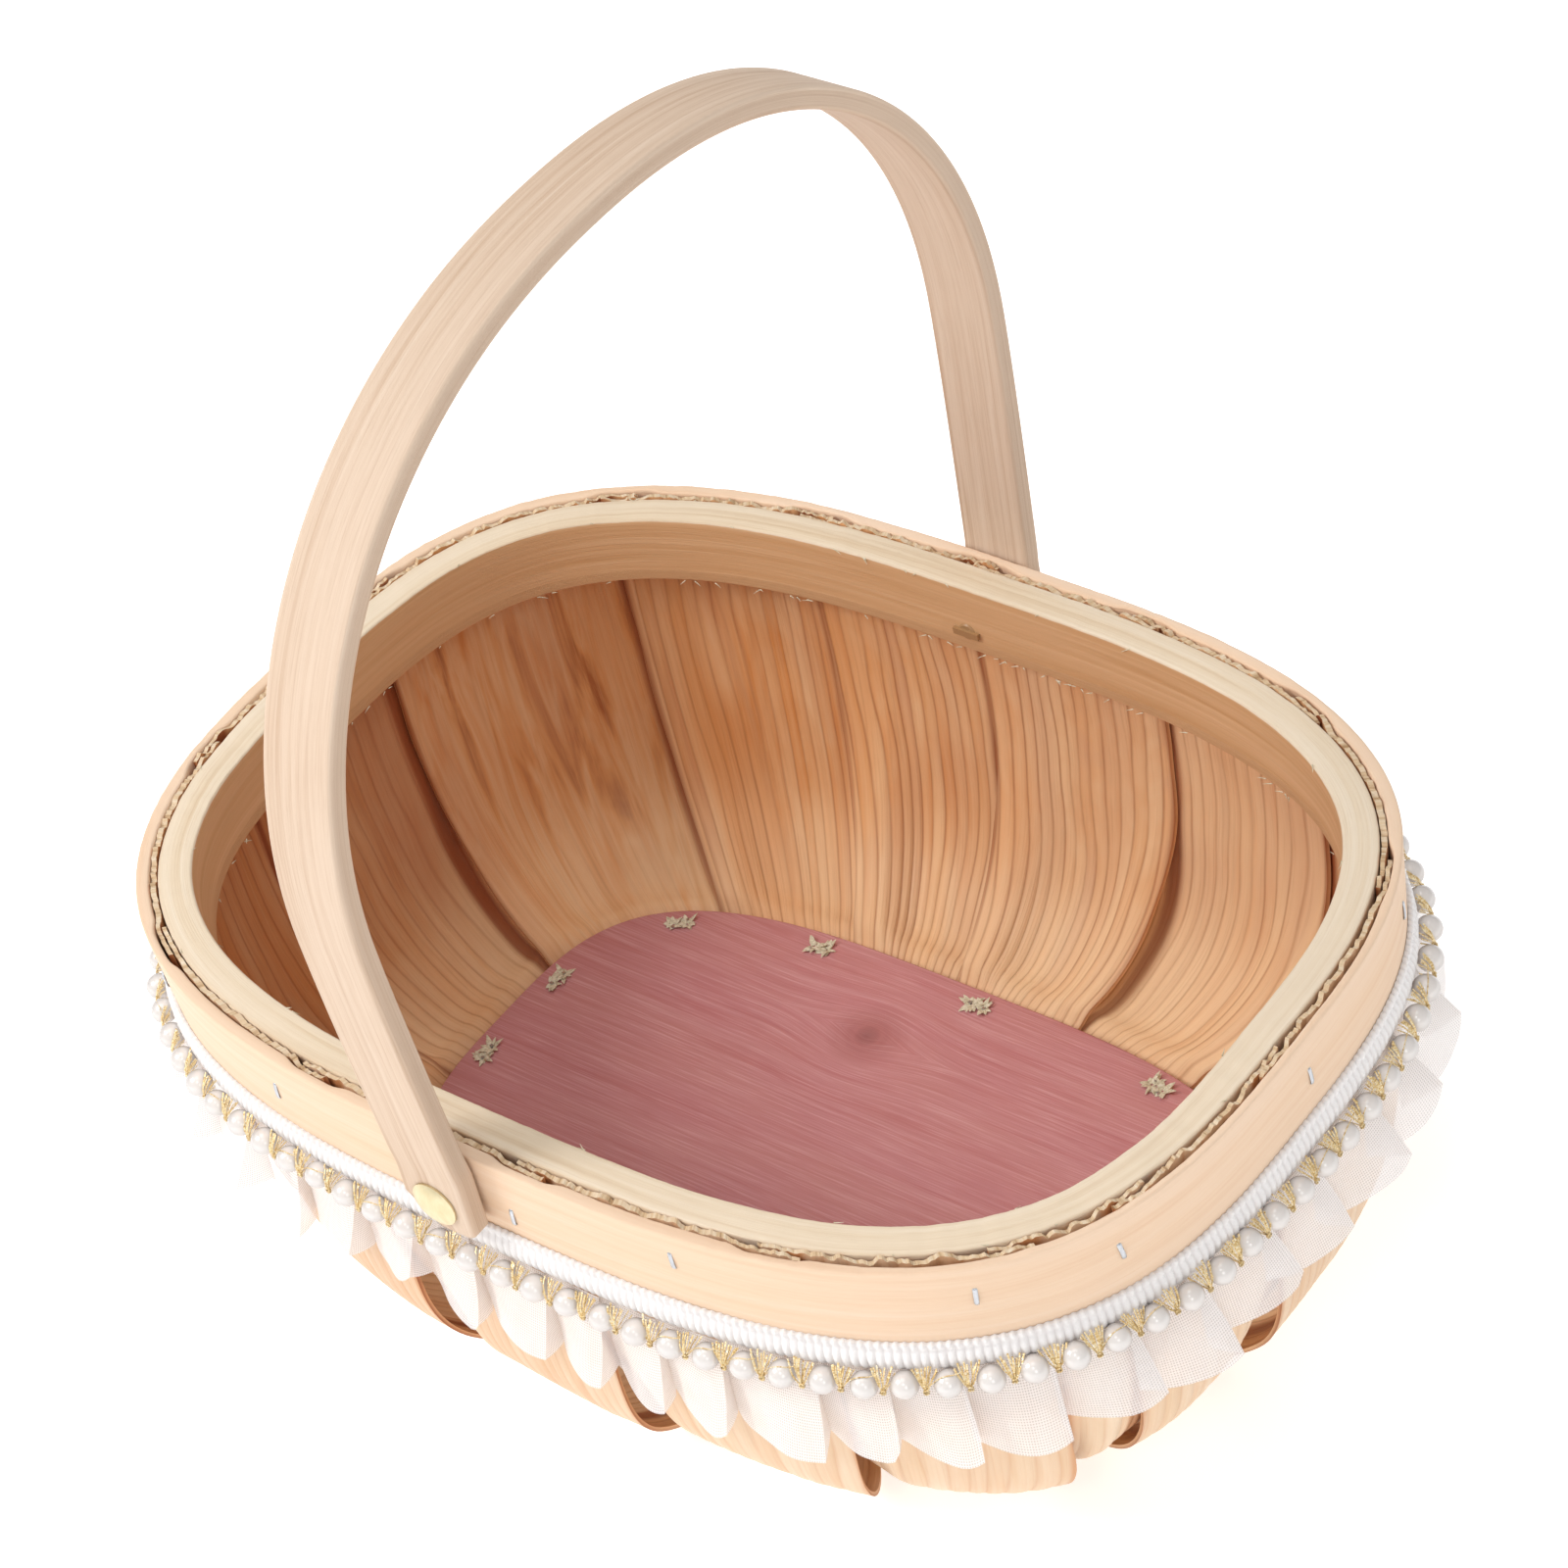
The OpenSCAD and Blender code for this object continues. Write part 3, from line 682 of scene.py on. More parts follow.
def bowl_profile(rows):
    """Dense upright profile of the bowl as rows of [share from plate to rim, extra outward distance, z]."""
    raw = []
    for d in np.linspace(0.0, BOWL_DROP, 14)[:-1]:
        raw.append((1.0, LEAN * (BOWL_DROP - d), RIM_Z - d))
    for a in np.radians(np.linspace(90, 12, 60)):
        w = math.sin(a) ** (2 / 1.5)
        raw.append((w, 0.0, PLATE_TOP + (RIM_Z - BOWL_DROP - PLATE_TOP) * (1 - math.cos(a) ** (2 / 2.6))))
    raw += [(0.085, 0, UNDER_Z + 3.2), (0.05, 0, UNDER_Z + 1.7), (0.0, 0, UNDER_Z + 0.6),
            (0, -1.5, UNDER_Z + 0.1), (0, -4.0, UNDER_Z), (0, -TUCK, UNDER_Z)]
    raw = np.array(raw)
    flat = np.column_stack([raw[:, 0] * MEAN_SPAN + raw[:, 1], raw[:, 2]])
    s = lengths(flat)
    fine = np.linspace(0, s[-1], 600)
    table = np.column_stack([np.interp(fine, s, raw[:, k]) for k in range(3)])
    width = 15
    pad = np.concatenate([np.repeat(table[:1], width, 0), table, np.repeat(table[-1:], width, 0)])
    kernel = np.hanning(2 * width + 1)
    kernel /= kernel.sum()
    soft = np.column_stack([np.convolve(pad[:, k], kernel, "valid") for k in range(3)])
    soft[:, 2] += np.interp(fine, [0, 6], [RIM_Z - soft[0, 2], 0])
    at = np.linspace(0, s[-1], rows)
    prof = np.column_stack([np.interp(at, fine, soft[:, k]) for k in range(3)])
    flat = np.column_stack([prof[:, 0] * MEAN_SPAN + prof[:, 1], prof[:, 2]])
    d = directions(flat)
    return prof, np.column_stack([-d[:, 1], d[:, 0]]), at


ROWS = 72
PROFILE, PROFILE_N, PROFILE_S = bowl_profile(ROWS)


def overlap_angle(a):
    return OVERLAP / np.linalg.norm(rim(np.array([a]), np.array([INNER_T]))[0])


def chip_points(a, off):
    """Points at polar angles a and distances off from the bowl's innermost face; both are [rows, columns]."""
    top = rim(a, np.full(a.shape, TOP_OFF - LEAN * BOWL_DROP))[0]
    low = plate(a, np.full(a.shape, 0.5))[0]
    span = top - low
    out = span / np.linalg.norm(span, axis=-1, keepdims=True)
    w, e, z = (PROFILE[:, k][:, None] for k in range(3))
    n0, n1 = PROFILE_N[:, 0][:, None], PROFILE_N[:, 1][:, None]
    xy = low + span * w[..., None] + out * (e + off * n0)[..., None]
    return np.concatenate([xy, (z + off * n1)[..., None]], -1)


def both_faces(inner, outer=None):
    """Values on a chip's inner face, then on its outer face with the columns in reverse."""
    outer = inner if outer is None else outer
    return np.concatenate([inner, outer[:, ::-1]], axis=1)


def chip(i):
    pitch, height, tone_and_shade, figure, pale, curl = CHIPS[i]
    first, last = SEAMS[(i - 1) % len(SEAMS)], SEAMS[i]
    a0 = math.radians(first[0] - (360 if first[0] > last[0] else 0))
    a1 = math.radians(last[0])
    lap0, lap1 = overlap_angle(a0), overlap_angle(a1)
    start, end = a0 - lap0, a1 + lap1
    layer0, layer1 = 1 - first[1], last[1]
    width = Along(INNER_T).at(end) - Along(INNER_T).at(start)
    nu = max(24, int(width / 0.62))
    u = np.linspace(0, 1, nu)
    share0, share1 = 2 * lap0 / (end - start), 2 * lap1 / (end - start)
    z = PROFILE[:, 2][:, None]
    s = PROFILE_S[:, None]
    in_bowl = smooth((RIM_Z - OUTER_H - z) / 14)
    # The edges wander a little along their length
    edge0 = 0.5 * noise1(s / 17, 5 * i + 1) * in_bowl / width
    edge1 = 0.5 * noise1(s / 17, 5 * i + 2) * in_bowl / width
    uu = u[None, :] + edge0 * (1 - u[None, :]) + edge1 * u[None, :]
    a = start + (end - start) * uu
    side = (uu - share0) / (1 - share0 - share1)
    off = LAYER * (layer0 + (layer1 - layer0) * smooth(side))
    lift = smooth((z - UNDER_Z - 0.5) / 7) * smooth((44 - z) / 28)
    # The body of a chip bulges, and rises from any edge that is tucked inside its neighbour
    rise0 = 1 if layer0 else smooth((uu * width - 5) / 13)
    rise1 = 1 if layer1 else smooth(((1 - uu) * width - 5) / 13)
    off = off + rise0 * rise1 * 4.5 * curl * lift
    # Ribs
    v = uu * width
    bend = 1.6 * noise2(s / 45, v / 20, i) + 0.5 * noise2(s / 14, v / 7, i + 3)
    phase = (v + bend) / pitch + 0.5 * noise1(v / 9, 7 * i)
    crest = np.abs(np.sin(np.pi * phase)) ** 0.6
    strength = 0.65 + 0.45 * noise2(s / 40, v / 12, i + 5)
    near_edge = np.minimum(uu, 1 - uu) * width
    calm = 0.35 + 0.65 * smooth((near_edge - 1.0) / 7)
    in_band = 1 - 0.55 * smooth((z - RIM_Z + OUTER_H + 4) / 8)
    ribs = height * (crest - 0.62) * strength * calm * in_band
    ribs = ribs + 0.12 * noise2(s / 22, v / 6, i + 9) * calm
    rim_zone = smooth((z - RIM_Z + 12) / 8)
    single = alone(near_edge - OVERLAP)
    loose = loose_end(a)
    wavy = 0.06 * np.sin(v * 2 * np.pi / 3.4) + 0.55 * loose * single * noise1(v / 2.6, i + 30)
    wavy = wavy * rim_zone
    thick = SPLINT_T - 0.18 + rim_zone * single * (0.3 - 0.2 * loose + 0.12 * noise1(v / 9, i + 31))
    mid = off + SPLINT_T / 2 + ribs
    middle = 0.72 + 0.3 * loose + 0.08 * noise1(v / 13, i + 33)
    mid = mid + (middle - mid) * single * rim_zone + wavy
    inner = chip_points(a, mid - thick / 2)
    outer = chip_points(a, mid + thick / 2)
    # Torn top edge
    top = smooth((z - RIM_Z + 5) / 5)
    jag = (0.55 * noise1(v / 1.7, 3 * i + 4) + 0.45 * noise1(v / 0.6, 3 * i + 5) - 0.35) * top
    inner[..., 2] += jag
    outer[..., 2] += jag + 0.15 * noise1(v / 0.8, 3 * i + 6) * top
    loop = both_faces(inner, outer)
    m = loop.shape[1]
    faces = quads(ROWS, m, False, True)
    col = np.tile(np.arange(m), ROWS - 1)
    index = np.where((col >= nu) & (col < m - 1), 1, 0)
    caps = []
    for row in (0, ROWS - 1):
        for j in range(nu - 1):
            f = [row * m + j, row * m + j + 1, row * m + m - 2 - j, row * m + m - 1 - j]
            caps.append(f[::-1] if row else f)
    faces = faces.tolist() + caps
    index = np.concatenate([index, np.full(len(caps), 2)])
    fibre = fibres(s, i * 7.31, both_faces(v), ROWS, m)
    # Each chip's darkness, with painted shade high up under the hoops and painted light low down near the
    # plate
    dark = tone_and_shade + 0.12 * smooth((z - 55) / 25) - 0.25 * smooth((26 - z) / 20)
    # Painted shade along the seams: beside the neighbour's edge on the covered face, and on the other face's
    # own edge
    d0, d1 = uu * width, (1 - uu) * width
    shade = [0, 0]
    for layer, d in ((layer0, d0), (layer1, d1)):
        shade[1 - layer] = shade[1 - layer] + 0.75 * bump(d, 6.0, 8.2, 2.0)
        shade[layer] = shade[layer] + 0.7 * smooth(1 - d / 1.3)
    # Paleness: the chip's own, with painted light added towards the plate
    pale_and_lit_low = np.clip(pale + 0.6 * smooth((28 - z) / 22), 0, 1)
    return mesh_piece(f"chip_{i + 1:02d}", loop, faces, [CHIP_IN, CHIP_OUT, CHIP_EDGE], fibre=fibre,
                      values={"phase": both_faces(phase + 100 * i),
                              "tone_and_shade": np.clip(both_faces(dark + shade[0], dark + shade[1]), 0, 1),
                              "pale": np.broadcast_to(pale_and_lit_low, (ROWS, m)),
                              "figure": np.full((ROWS, m), figure)},
                      replaces=[f"splint_{i + 1:02d}"], sharp=48, material_index=index, slot="splint_veneer")


for i in range(len(SEAMS)):
    chip(i)


# ---- handle

def hoop_line():
    """Half of the hoop's inner face as (y, z), from the leg's end to the top."""
    waist_z = RIM_Z + HOOP_WAIST
    straight = 5.2
    z = np.concatenate([PIVOT_Z - FOOT_LOW * np.cos(np.linspace(0, np.pi / 2, 26)),
                        np.linspace(PIVOT_Z, waist_z, 50)[1:]])
    t = np.clip((z - PIVOT_Z - straight) / (waist_z - PIVOT_Z - straight), 0, 1)
    y = LEG_Y + (HOOP_HALF - LEG_Y) * (1 - (1 - t) ** 1.35) * smooth(t * 9)
    a = np.radians(np.linspace(0, 90, 74)[1:])
    arch = np.column_stack([HOOP_HALF * np.cos(a) ** (2 / HOOP_SQ),
                            waist_z + (HOOP_TOP - HOOP_WAIST) * np.sin(a) ** (2 / HOOP_SQ)])
    line = np.concatenate([np.column_stack([y, z]), arch])
    line[-1, 0] = 0
    return line


def handle_piece():
    half = hoop_line()
    line = np.concatenate([half, np.column_stack([-half[-2::-1, 0], half[-2::-1, 1]])])
    d = directions(line)
    out = np.column_stack([d[:, 1], -d[:, 0]])
    s = lengths(line)
    n = len(line)
    # Leg's end: cut across, with one corner taken off and the other just rounded
    low = np.clip(PIVOT_Z - line[:, 1], 0, FOOT_LOW)
    curl = np.clip(low - FOOT_LOW + 1, 0, 1)
    right = HANDLE_W / 2 - 1 + np.sqrt(1 - curl ** 2 * 0.96)
    left = low - HANDLE_W / 2 + curl ** 2 * 0.5
    # Section: rounded rectangle, x across and y through the thickness
    r = 0.8
    section = []
    for cx, cy, start in ((1, 1, 0), (-1, 1, 90), (-1, -1, 180), (1, -1, 270)):
        for k in np.radians(np.linspace(start, start + 90, 6)):
            section.append((cx, cy, r * math.cos(k), r * math.sin(k)))
    flats = []
    for a, b in zip(section, section[1:] + section[:1]):
        flats.append(a)
        if a[1] == b[1] and a[0] != b[0]:
            for q in np.linspace(0, 1, 9)[1:-1]:
                flats.append((a[0] + (b[0] - a[0]) * q, a[1], a[2] + (b[2] - a[2]) * q, a[3]))
    sec = np.array(flats)
    m = len(sec)
    hw = (right - left)[:, None] / 2
    x = HANDLE_X + (right + left)[:, None] / 2 + sec[None, :, 0] * (hw - r) + sec[None, :, 2]
    through = sec[:, 1] * (HANDLE_T / 2 - r) + sec[:, 3] + HANDLE_T / 2
    waver = 0.12 * noise1(s / 40, 50)[:, None]
    pts = np.zeros((n, m, 3))
    pts[..., 0] = x + waver
    pts[..., 1:] = line[:, None] + out[:, None] * through[:, None]
    ring = np.column_stack([sec[:, 0] * (HANDLE_W / 2 - r) + sec[:, 2], through])
    fibre = fibres(s[:, None], 3.7, lengths(ring), n, m)
    return mesh_piece("handle_strip", pts, capped(n, m), HANDLE_WOOD, body="handle", fibre=fibre,
                      replaces=["handle"], sharp=50, slot="handle_wood")


handle_piece()

for node in ("rivet_near", "rivet_far"):
    me = dress(node, BRASS)
    for poly in me.polygons:
        poly.use_smooth = True
    me.set_sharp_from_angle(angle=math.radians(35))


# ---- trim

# The braid's top edge and the cloth's upper edge below the rim, and their heights
BRAID_TOP, BRAID_H = 18.95, 7.2
CLOTH_TOP, CLOTH_H = 26.2, 18.4
PEARL_D = 5.25
PEARLS = 94
PEARL_OFF = RIM_OUT + 2.2
PEARL_DROP = 27.0


def sag(a):
    """How much lower than its mean the hand-glued row of pearls runs."""
    bumps = ((285, 22, 1.3), (338, 14, -1.3), (6, 14, 1.1), (232, 18, -1.3), (120, 30, 0.5))
    return sum(h * np.exp(-((np.degrees(a) - c + 180) % 360 - 180) ** 2 / (2 * w * w)) for c, w, h in bumps)


def braid():
    line = Along(RIM_OUT)
    ribs = int(line.length / 1.6)
    per = 7
    n = ribs * per
    s = np.arange(n) / n * line.length
    a = line.angle(s)
    rib = np.abs(np.sin(np.arange(n) / per * np.pi)) ** 0.8
    edge = np.sin(np.arange(n) / per * np.pi) ** 2
    base_xy, normal = rim(a, np.full(n, RIM_OUT))
    # Section: (height from the top edge, thickness in front)
    section = [(0.0, 0.35), (0.15, 0.95), (0.7, 1.2), (1.5, 1.0), (1.9, 0.8), (2.4, 1.15), (3.2, 1.6),
               (4.3, 1.8), (5.4, 1.7), (6.4, 1.3), (7.0, 0.8), (BRAID_H, 0.25)]
    m = len(section) * 2
    pts = np.zeros((n, m, 3))
    groove_shade = np.zeros((n, m))
    v = np.zeros(m)
    low = sag(a) * 0.4
    for j, (h, t) in enumerate(section):
        depth = BRAID_TOP + h + np.maximum(low * h / BRAID_H, -0.4)
        upper = h < 1.7
        amount = 0.42 if upper else 0.28
        shape = edge if upper else rib
        wob = 0.08 * noise1(s / 3.1 + h, 40)
        front = 0.12 + t * (1 - amount * (1 - shape)) + wob
        back = 0.05
        # Pressed flat behind a foot of the handle
        reach = np.hypot(base_xy[:, 0] - HANDLE_X, depth - PIVOT_DROP) - math.hypot(HANDLE_W / 2, FOOT_LOW)
        front = np.minimum(front, LEAN * depth + 0.1 + 3 * smooth((reach - 0.3) / 1.5))
        z = RIM_Z - depth + (0.3 * edge - 0.25 if j < 2 else 0) + 0.05 * noise1(s / 2.0, 41)
        lean = -LEAN * (BRAID_TOP + h)
        k = m - 1 - j
        pts[:, j] = level(base_xy + normal * (lean + front)[:, None], z)
        pts[:, k] = level(base_xy + normal * (lean + back), z)
        # Painted shade in the hollows between the ribs, read by the material
        groove_shade[:, j] = (1 - shape) * 0.8
        v[j], v[k] = h, 2 * BRAID_H - h
    fibre = fibres(s[:, None], 0.0, v, n, m)
    return mesh_piece("gimp_braid", pts, quads(n, m, True, True)[:, ::-1], BRAID, fibre=fibre,
                      values={"groove_shade": groove_shade}, replaces=["trim_braid"], sharp=80, slot="braid_cotton")


def ball(r, rings=14, segments=24):
    t = np.linspace(0, np.pi, rings + 1)[1:-1]
    f = np.arange(segments) / segments * 2 * np.pi
    body = np.stack([np.sin(t)[:, None] * np.cos(f), np.sin(t)[:, None] * np.sin(f),
                     np.broadcast_to(np.cos(t)[:, None], (rings - 1, segments))], -1).reshape(-1, 3)
    return np.concatenate([body, [[0, 0, 1], [0, 0, -1]]]) * r, poled(rings - 1, segments)


ROW = Along(PEARL_OFF)


def row_frame(share):
    """Place, tangent and outward normal of the row of pearls at a share of its length."""
    a = ROW.angle(np.atleast_1d(share) * ROW.length)
    xy, n = rim(a, np.full(a.shape, PEARL_OFF))
    return level(xy, RIM_Z - PEARL_DROP - sag(a)), level(np.column_stack([-n[:, 1], n[:, 0]]), 0), level(n, 0)


def pearls():
    shape, faces = ball(PEARL_D / 2)
    centre, _, _ = row_frame(np.arange(PEARLS) / PEARLS)
    jitter = rng.normal(0, 0.12, centre.shape)
    size = 1 + rng.normal(0, 0.012, PEARLS)
    parts = [(centre[k] + jitter[k] + shape * size[k], faces) for k in range(PEARLS)]
    return many("pearl_row", parts, PEARL, replaces=["trim_pearls"], sharp=180, slot="pearl")


def gold():
    parts, along = [], []
    centre, tangent, normal = row_frame((np.arange(PEARLS) + 0.5) / PEARLS)

    def strand(points, r, squeeze=0.5):
        p, f = tube(points, r, 5, squeeze)
        parts.append((p, f))
        along.append(np.column_stack([np.repeat(np.arange(len(points)) * 0.6 + len(parts) * 3.1, 5),
                                      np.full(len(p), len(parts) * 1.7), np.zeros(len(p))]))

    for k in range(PEARLS):
        c, t, n = centre[k], tangent[k], normal[k]
        low = c + n * 0.9 + UP * (-0.7 + rng.normal(0, 0.15)) + t * rng.normal(0, 0.12)
        fans = rng.integers(8, 11)
        for j in range(fans):
            x = (j / (fans - 1) - 0.5) * (4.9 + rng.normal(0, 0.4))
            high = c + t * x + n * (-1.3 + rng.normal(0, 0.25))
            high = high + UP * (3.2 + rng.normal(0, 0.3) - 0.08 * x * x)
            q = np.linspace(0, 1, 7)[:, None]
            belly = n * (0.9 + rng.normal(0, 0.2)) + t * rng.normal(0, 0.15)
            start = low + t * x * 0.1 + n * rng.normal(0, 0.12)
            path = start * (1 - q) + high * q + belly * (q * (1 - q) * 2.2)
            path = path + rng.normal(0, 0.05, path.shape)
            strand(path, 0.14 + rng.uniform(0, 0.09), 0.5)
        # A small wound knot at the foot of the fan
        for j in range(3):
            w = np.linspace(0, 2 * np.pi * 0.9, 9)[:, None] + rng.uniform(0, 6)
            r = 0.42 + 0.06 * j
            path = low - UP * 0.15 + n * 0.15 * j + (t * np.cos(w) + UP * np.sin(w) * 0.9) * r
            strand(path, 0.2, 0.7)
        # A thread that crosses the next pearl's shoulder, on some of them
        if rng.uniform() < 0.55:
            k2 = (k + 1) % PEARLS
            a = c + t * 0.9 + n * 0.8 + UP * 0.8
            b = centre[k2] - tangent[k2] * 0.8 + normal[k2] * 0.3 + UP * 3.1
            q = np.linspace(0, 1, 9)[:, None]
            path = a * (1 - q) + b * q
            heart = (centre[k] + tangent[k] * 3.65) * (1 - q) + (centre[k2] - tangent[k2] * 3.65) * q
            away = path - heart
            dist = np.linalg.norm(away, axis=1, keepdims=True)
            path = heart + away / dist * np.maximum(dist, PEARL_D / 2 + 0.12)
            strand(path, 0.12, 0.7)
    return many("gold_thread_fans", parts, GOLD, along, replaces=["trim_gold_thread"], sharp=80,
                 slot="gold_thread")


def ruffle():
    """Knife pleats of organza: each panel runs outwards and folds sharply back behind itself."""
    line = Along(RIM_OUT)
    widths = rng.uniform(12.5, 19.0, 60)
    count = int(round(line.length / widths.mean()))
    widths = widths[:count] * line.length / widths[:count].sum()
    starts = np.concatenate([[0], np.cumsum(widths)[:-1]])
    levels = np.linspace(0, 1, 13)
    front, back = 12, 7
    # For each column: place along the rim and distance out at the hem, length, cloth used so far, and the
    # place and distance at the upper edge
    cols = []
    cloth = 0.0
    for k in range(count):
        w = widths[k]
        reach = rng.uniform(5.5, 8.6)
        length = rng.uniform(18.2, 21.4)
        over = rng.uniform(0.04, 0.2)
        nxt = starts[k] + w
        crown = rng.uniform(0.75, 1.25)
        tilt = rng.uniform(-0.6, 3.0)
        soft, turn = rng.uniform(0.6, 4.2), rng.uniform(0.5, 0.85)
        for j in range(front):
            q = j / (front - 1)
            s = starts[k] + w * q * (1 + over)
            r = reach * math.sin(q * math.pi / 2) ** crown
            short = soft * max(0.0, (q - turn) / (1 - turn)) ** 2
            cols.append((s, r, length + tilt * q - short, cloth, starts[k] + w * q * 1.04, 0.5 * q))
            cloth += math.hypot(w * (1 + over), reach) / (front - 1)
        for j in range(1, back):
            q = j / back
            s = nxt + w * over * (1 - q)
            r = reach * (1 - q) ** 1.15
            cols.append((s, r, length + (tilt - soft) * (1 - q), cloth, nxt + w * 0.04 * (1 - q),
                         0.5 * (1 - q) - 0.1))
            cloth += math.hypot(w * over, reach) / back
    cols = np.array(cols)
    n, m = len(cols), len(levels)
    pts = np.zeros((n, m, 3))
    wavy = noise1(cols[:, 3] / 6, 60)
    for j, t in enumerate(levels):
        fall = smooth(t * 1.25) * 0.75 + 0.25 * t
        s = cols[:, 4] * (1 - fall) + cols[:, 0] * fall
        r = cols[:, 5] * (1 - t) + cols[:, 1] * t ** 1.15
        r = r + 0.45 * wavy * t * t + 0.35 * np.sin(cols[:, 3] / 2.2) * t * (1 - t)
        xy, _ = rim(line.angle(s), RIM_OUT - 1.3 + r)
        hang = cols[:, 2] * t
        drop = np.sqrt(np.maximum(hang ** 2 - (r - cols[:, 5] * (1 - t)) ** 2, 0.01)) if t else np.zeros(n)
        pts[:, j] = level(xy, RIM_Z - CLOTH_TOP - drop - sag(line.angle(s)) * 0.8)
    fibre = fibres(cols[:, 3][:, None], levels * CLOTH_H, 0.0, n, m)
    ob = mesh_piece("organza_ruffle", pts, quads(n, m, True, False), ORGANZA, fibre=fibre,
                    replaces=["trim_organza"], sharp=50, slot="organza", closed=False)
    return ob


braid()
pearls()
gold()
ruffle()


# ---- staples and splinters

STAPLE_DEG = [2, 22, 44, 62, 80, 103, 124, 149, 172, 197, 217, 237, 257, 276, 300.5, 327, 338]
STAPLE_DROP = {276: 13.5, 300.5: 6.8, 327: 7.8, 338: 9.0}
BASE_STAPLE_DEG = [12, 27, 44, 86, 126, 149, 171, 187, 207, 232, 260, 292, 321, 349]


def rim_staples():
    parts = []
    for deg in STAPLE_DEG:
        drop = STAPLE_DROP.get(deg, 10.0)
        c, t, n = spot(rim, math.radians(deg), RIM_OUT - LEAN * drop, RIM_Z - drop)
        tip = t * rng.normal(0, 0.15)
        half = 2.1
        ups = ((half - 0.2, -1.2), (half, -0.1), (half - 0.35, 0.22))
        fine = np.array([c + UP * up + tip + n * out for up, out in ups] + [c + n * 0.25]
                        + [c - UP * up - tip + n * out for up, out in ups[::-1]])
        # Rounds the corners of the bent wire
        for _ in range(2):
            q = np.empty((2 * len(fine) - 2, 3))
            q[0::2] = fine[:-1] * 0.75 + fine[1:] * 0.25
            q[1::2] = fine[:-1] * 0.25 + fine[1:] * 0.75
            fine = np.concatenate([fine[:1], q, fine[-1:]])
        parts.append(tube(fine, 0.46, 8, 0.5, up=n))
    return many("rim_staple_wires", parts, STEEL, replaces=["rim_staples"], sharp=50, slot="staple_wire")


rim_staples()


def splinters():
    """Pale slivers that the base staples' points have torn up round themselves."""
    parts, along = [], []
    for deg in BASE_STAPLE_DEG:
        c, t, n = spot(plate, math.radians(deg), -4.5, PLATE_TOP)
        for side in (-1, 1):
            heart = c + t * side * 1.5
            for _ in range(14):
                turn = rng.uniform(0, 2 * np.pi)
                length = rng.uniform(1.3, 3.2)
                rise = rng.uniform(0.05, 0.6)
                away = t * math.cos(turn) + n * math.sin(turn)
                lay = away * math.cos(rise) + UP * math.sin(rise)
                root = heart + away * 0.3 + UP * 0.05
                q = np.linspace(0, 1, 4)[:, None]
                path = root + lay * length * q + UP * 0.25 * q * (1 - q) - UP * 0.2 * q * q
                p, f = tube(path, np.array([0.5, 0.62, 0.42, 0.06]) * rng.uniform(0.7, 1.3), 5, 0.35)
                parts.append((p, f))
                along.append(p * 0.9 + len(parts) * 3.3)
    return many("torn_splinters", parts, SPLINTER, along, sharp=40, slot="dyed_board")


def loose_fibres():
    """Short hairs of wood along the cut edges of the inner hoop."""
    parts, along = [], []
    for _ in range(150):
        a = rng.uniform(0, 2 * np.pi)
        lower = rng.uniform() < 0.75
        drop = INNER_H - 0.1 if lower else 0.1
        off = -0.05 if lower else rng.choice([0.1, INNER_T - 0.1])
        root, t, n = spot(rim, a, off - LEAN * drop, RIM_Z - drop)
        length = rng.uniform(0.7, 2.2)
        lay = t * rng.choice([-1, 1]) + UP * rng.uniform(-0.7, 0.3) - n * rng.uniform(0.05, 0.5)
        lay /= np.linalg.norm(lay)
        q = np.linspace(0, 1, 4)[:, None]
        path = root + lay * length * q - n * 0.3 * q * q
        p, f = tube(path, np.array([0.14, 0.12, 0.08, 0.03]), 4)
        parts.append((p, f))
        along.append(p * 0.7)
    return many("loose_fibres", parts, SPLINTER, along, sharp=40, slot="rim_wood")


splinters()
loose_fibres()

dress("base_staples", STEEL)


# ---- camera, floor and light

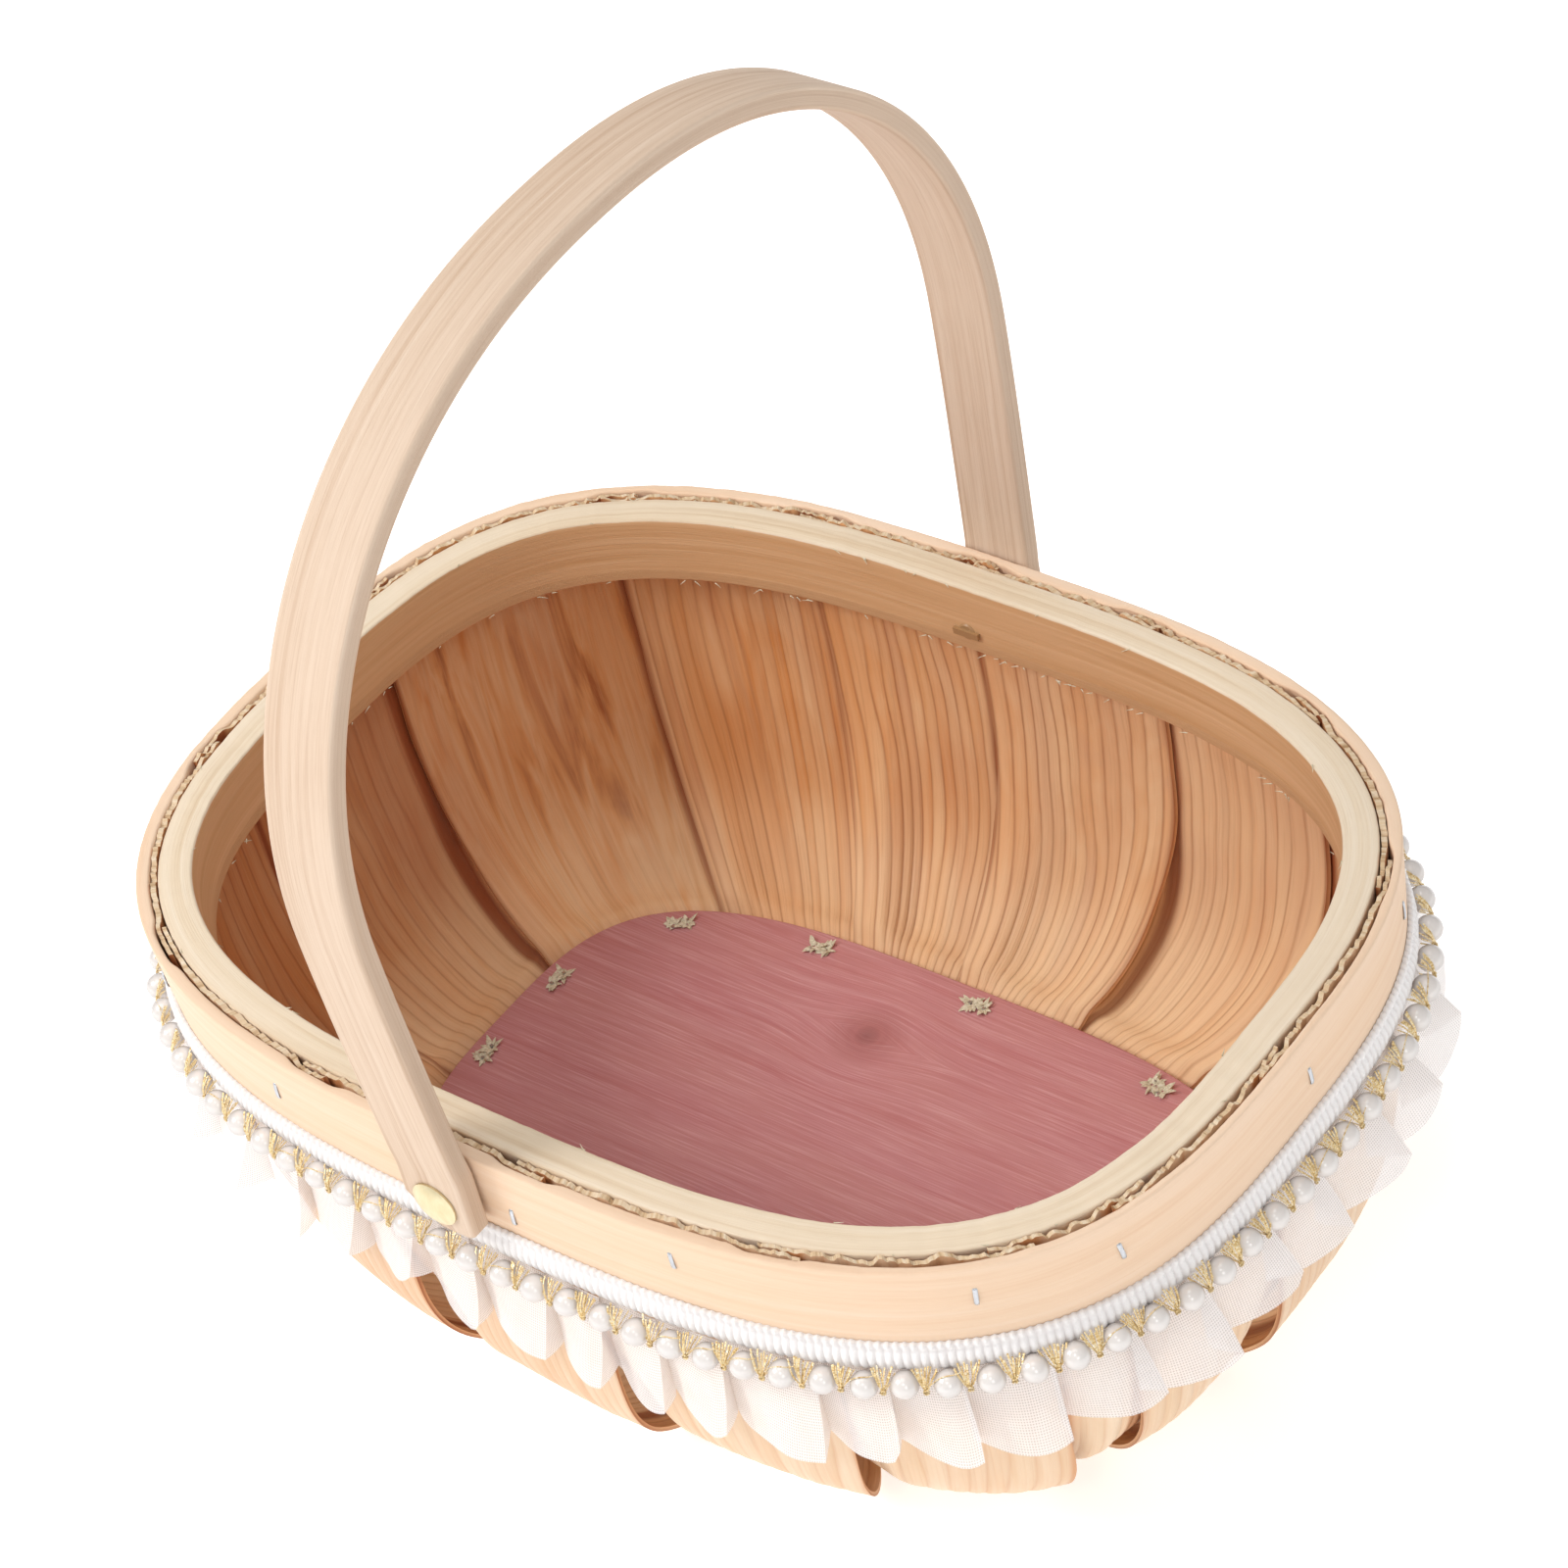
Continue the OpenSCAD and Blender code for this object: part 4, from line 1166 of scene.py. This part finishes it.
def camera():
    az, el, roll = (math.radians(x) for x in (46.1, 41.7, -14.19))
    back = Vector((math.sin(az) * math.cos(el), -math.cos(az) * math.cos(el), math.sin(el)))
    right = (-back).cross(Vector((0, 0, 1))).normalized()
    up = right.cross(-back)
    x = right * math.cos(roll) + up * math.sin(roll)
    y = up * math.cos(roll) - right * math.sin(roll)
    distance = 0.9384
    place = Vector((-3.78, 16.03, RIM_Z)) * MM + back * distance
    cam = bpy.data.cameras.new("camera")
    cam.lens, cam.sensor_width = 113.4, 36
    cam.clip_start, cam.clip_end = 0.05, 20
    ob = put_in_scene("camera", cam)
    ob.matrix_world = Matrix.Translation(place) @ Matrix((x, y, back)).transposed().to_4x4()
    bpy.context.scene.camera = ob


def floor():
    p = Paint("floor")
    n = p.noise(p.place(), (3, 3, 3), 2.0, 0.5)
    m = p.shader(Base_Color=p.mix(n, (0.86, 0.86, 0.86, 1), (0.88, 0.88, 0.88, 1)), Roughness=0.9,
                 Specular_IOR_Level=0.1, Emission_Color=(1, 1, 1, 1), Emission_Strength=0.52)
    me = bpy.data.meshes.new("floor")
    half = 6.0
    corners = [(x * half, y * half, 0) for x, y in ((-1, -1), (1, -1), (1, 1), (-1, 1))]
    me.from_pydata(corners, [], [(0, 1, 2, 3)])
    me.materials.append(m)
    put_in_scene("floor", me)


def light(name, place, size, power):
    aim = (0, 0, 0.08)
    lamp = bpy.data.lights.new(name, "AREA")
    lamp.shape, lamp.size, lamp.size_y = "RECTANGLE", size[0], size[1]
    lamp.energy = power
    ob = put_in_scene(name, lamp)
    ob.location = place
    ob.rotation_mode = "QUATERNION"
    ob.rotation_quaternion = (Vector(aim) - Vector(place)).to_track_quat("-Z", "Y")


camera()
floor()
light("key", (-0.62, -0.72, 0.95), (0.42, 0.42), 7.6)
light("fill", (0.95, -0.75, 0.55), (0.3, 0.4), 1.1)
light("top", (-0.1, -0.1, 1.6), (0.9, 0.9), 3.8)
light("spark", (0.55, -0.95, 1.3), (0.25, 0.25), 1.4)

world = bpy.data.worlds.new("world")
bpy.context.scene.world = world
world.use_nodes = True
background = world.node_tree.nodes["Background"].inputs
background[0].default_value = (1.0, 1.0, 1.0, 1)
background[1].default_value = 0.62
bpy.context.scene.view_settings.view_transform = "Standard"
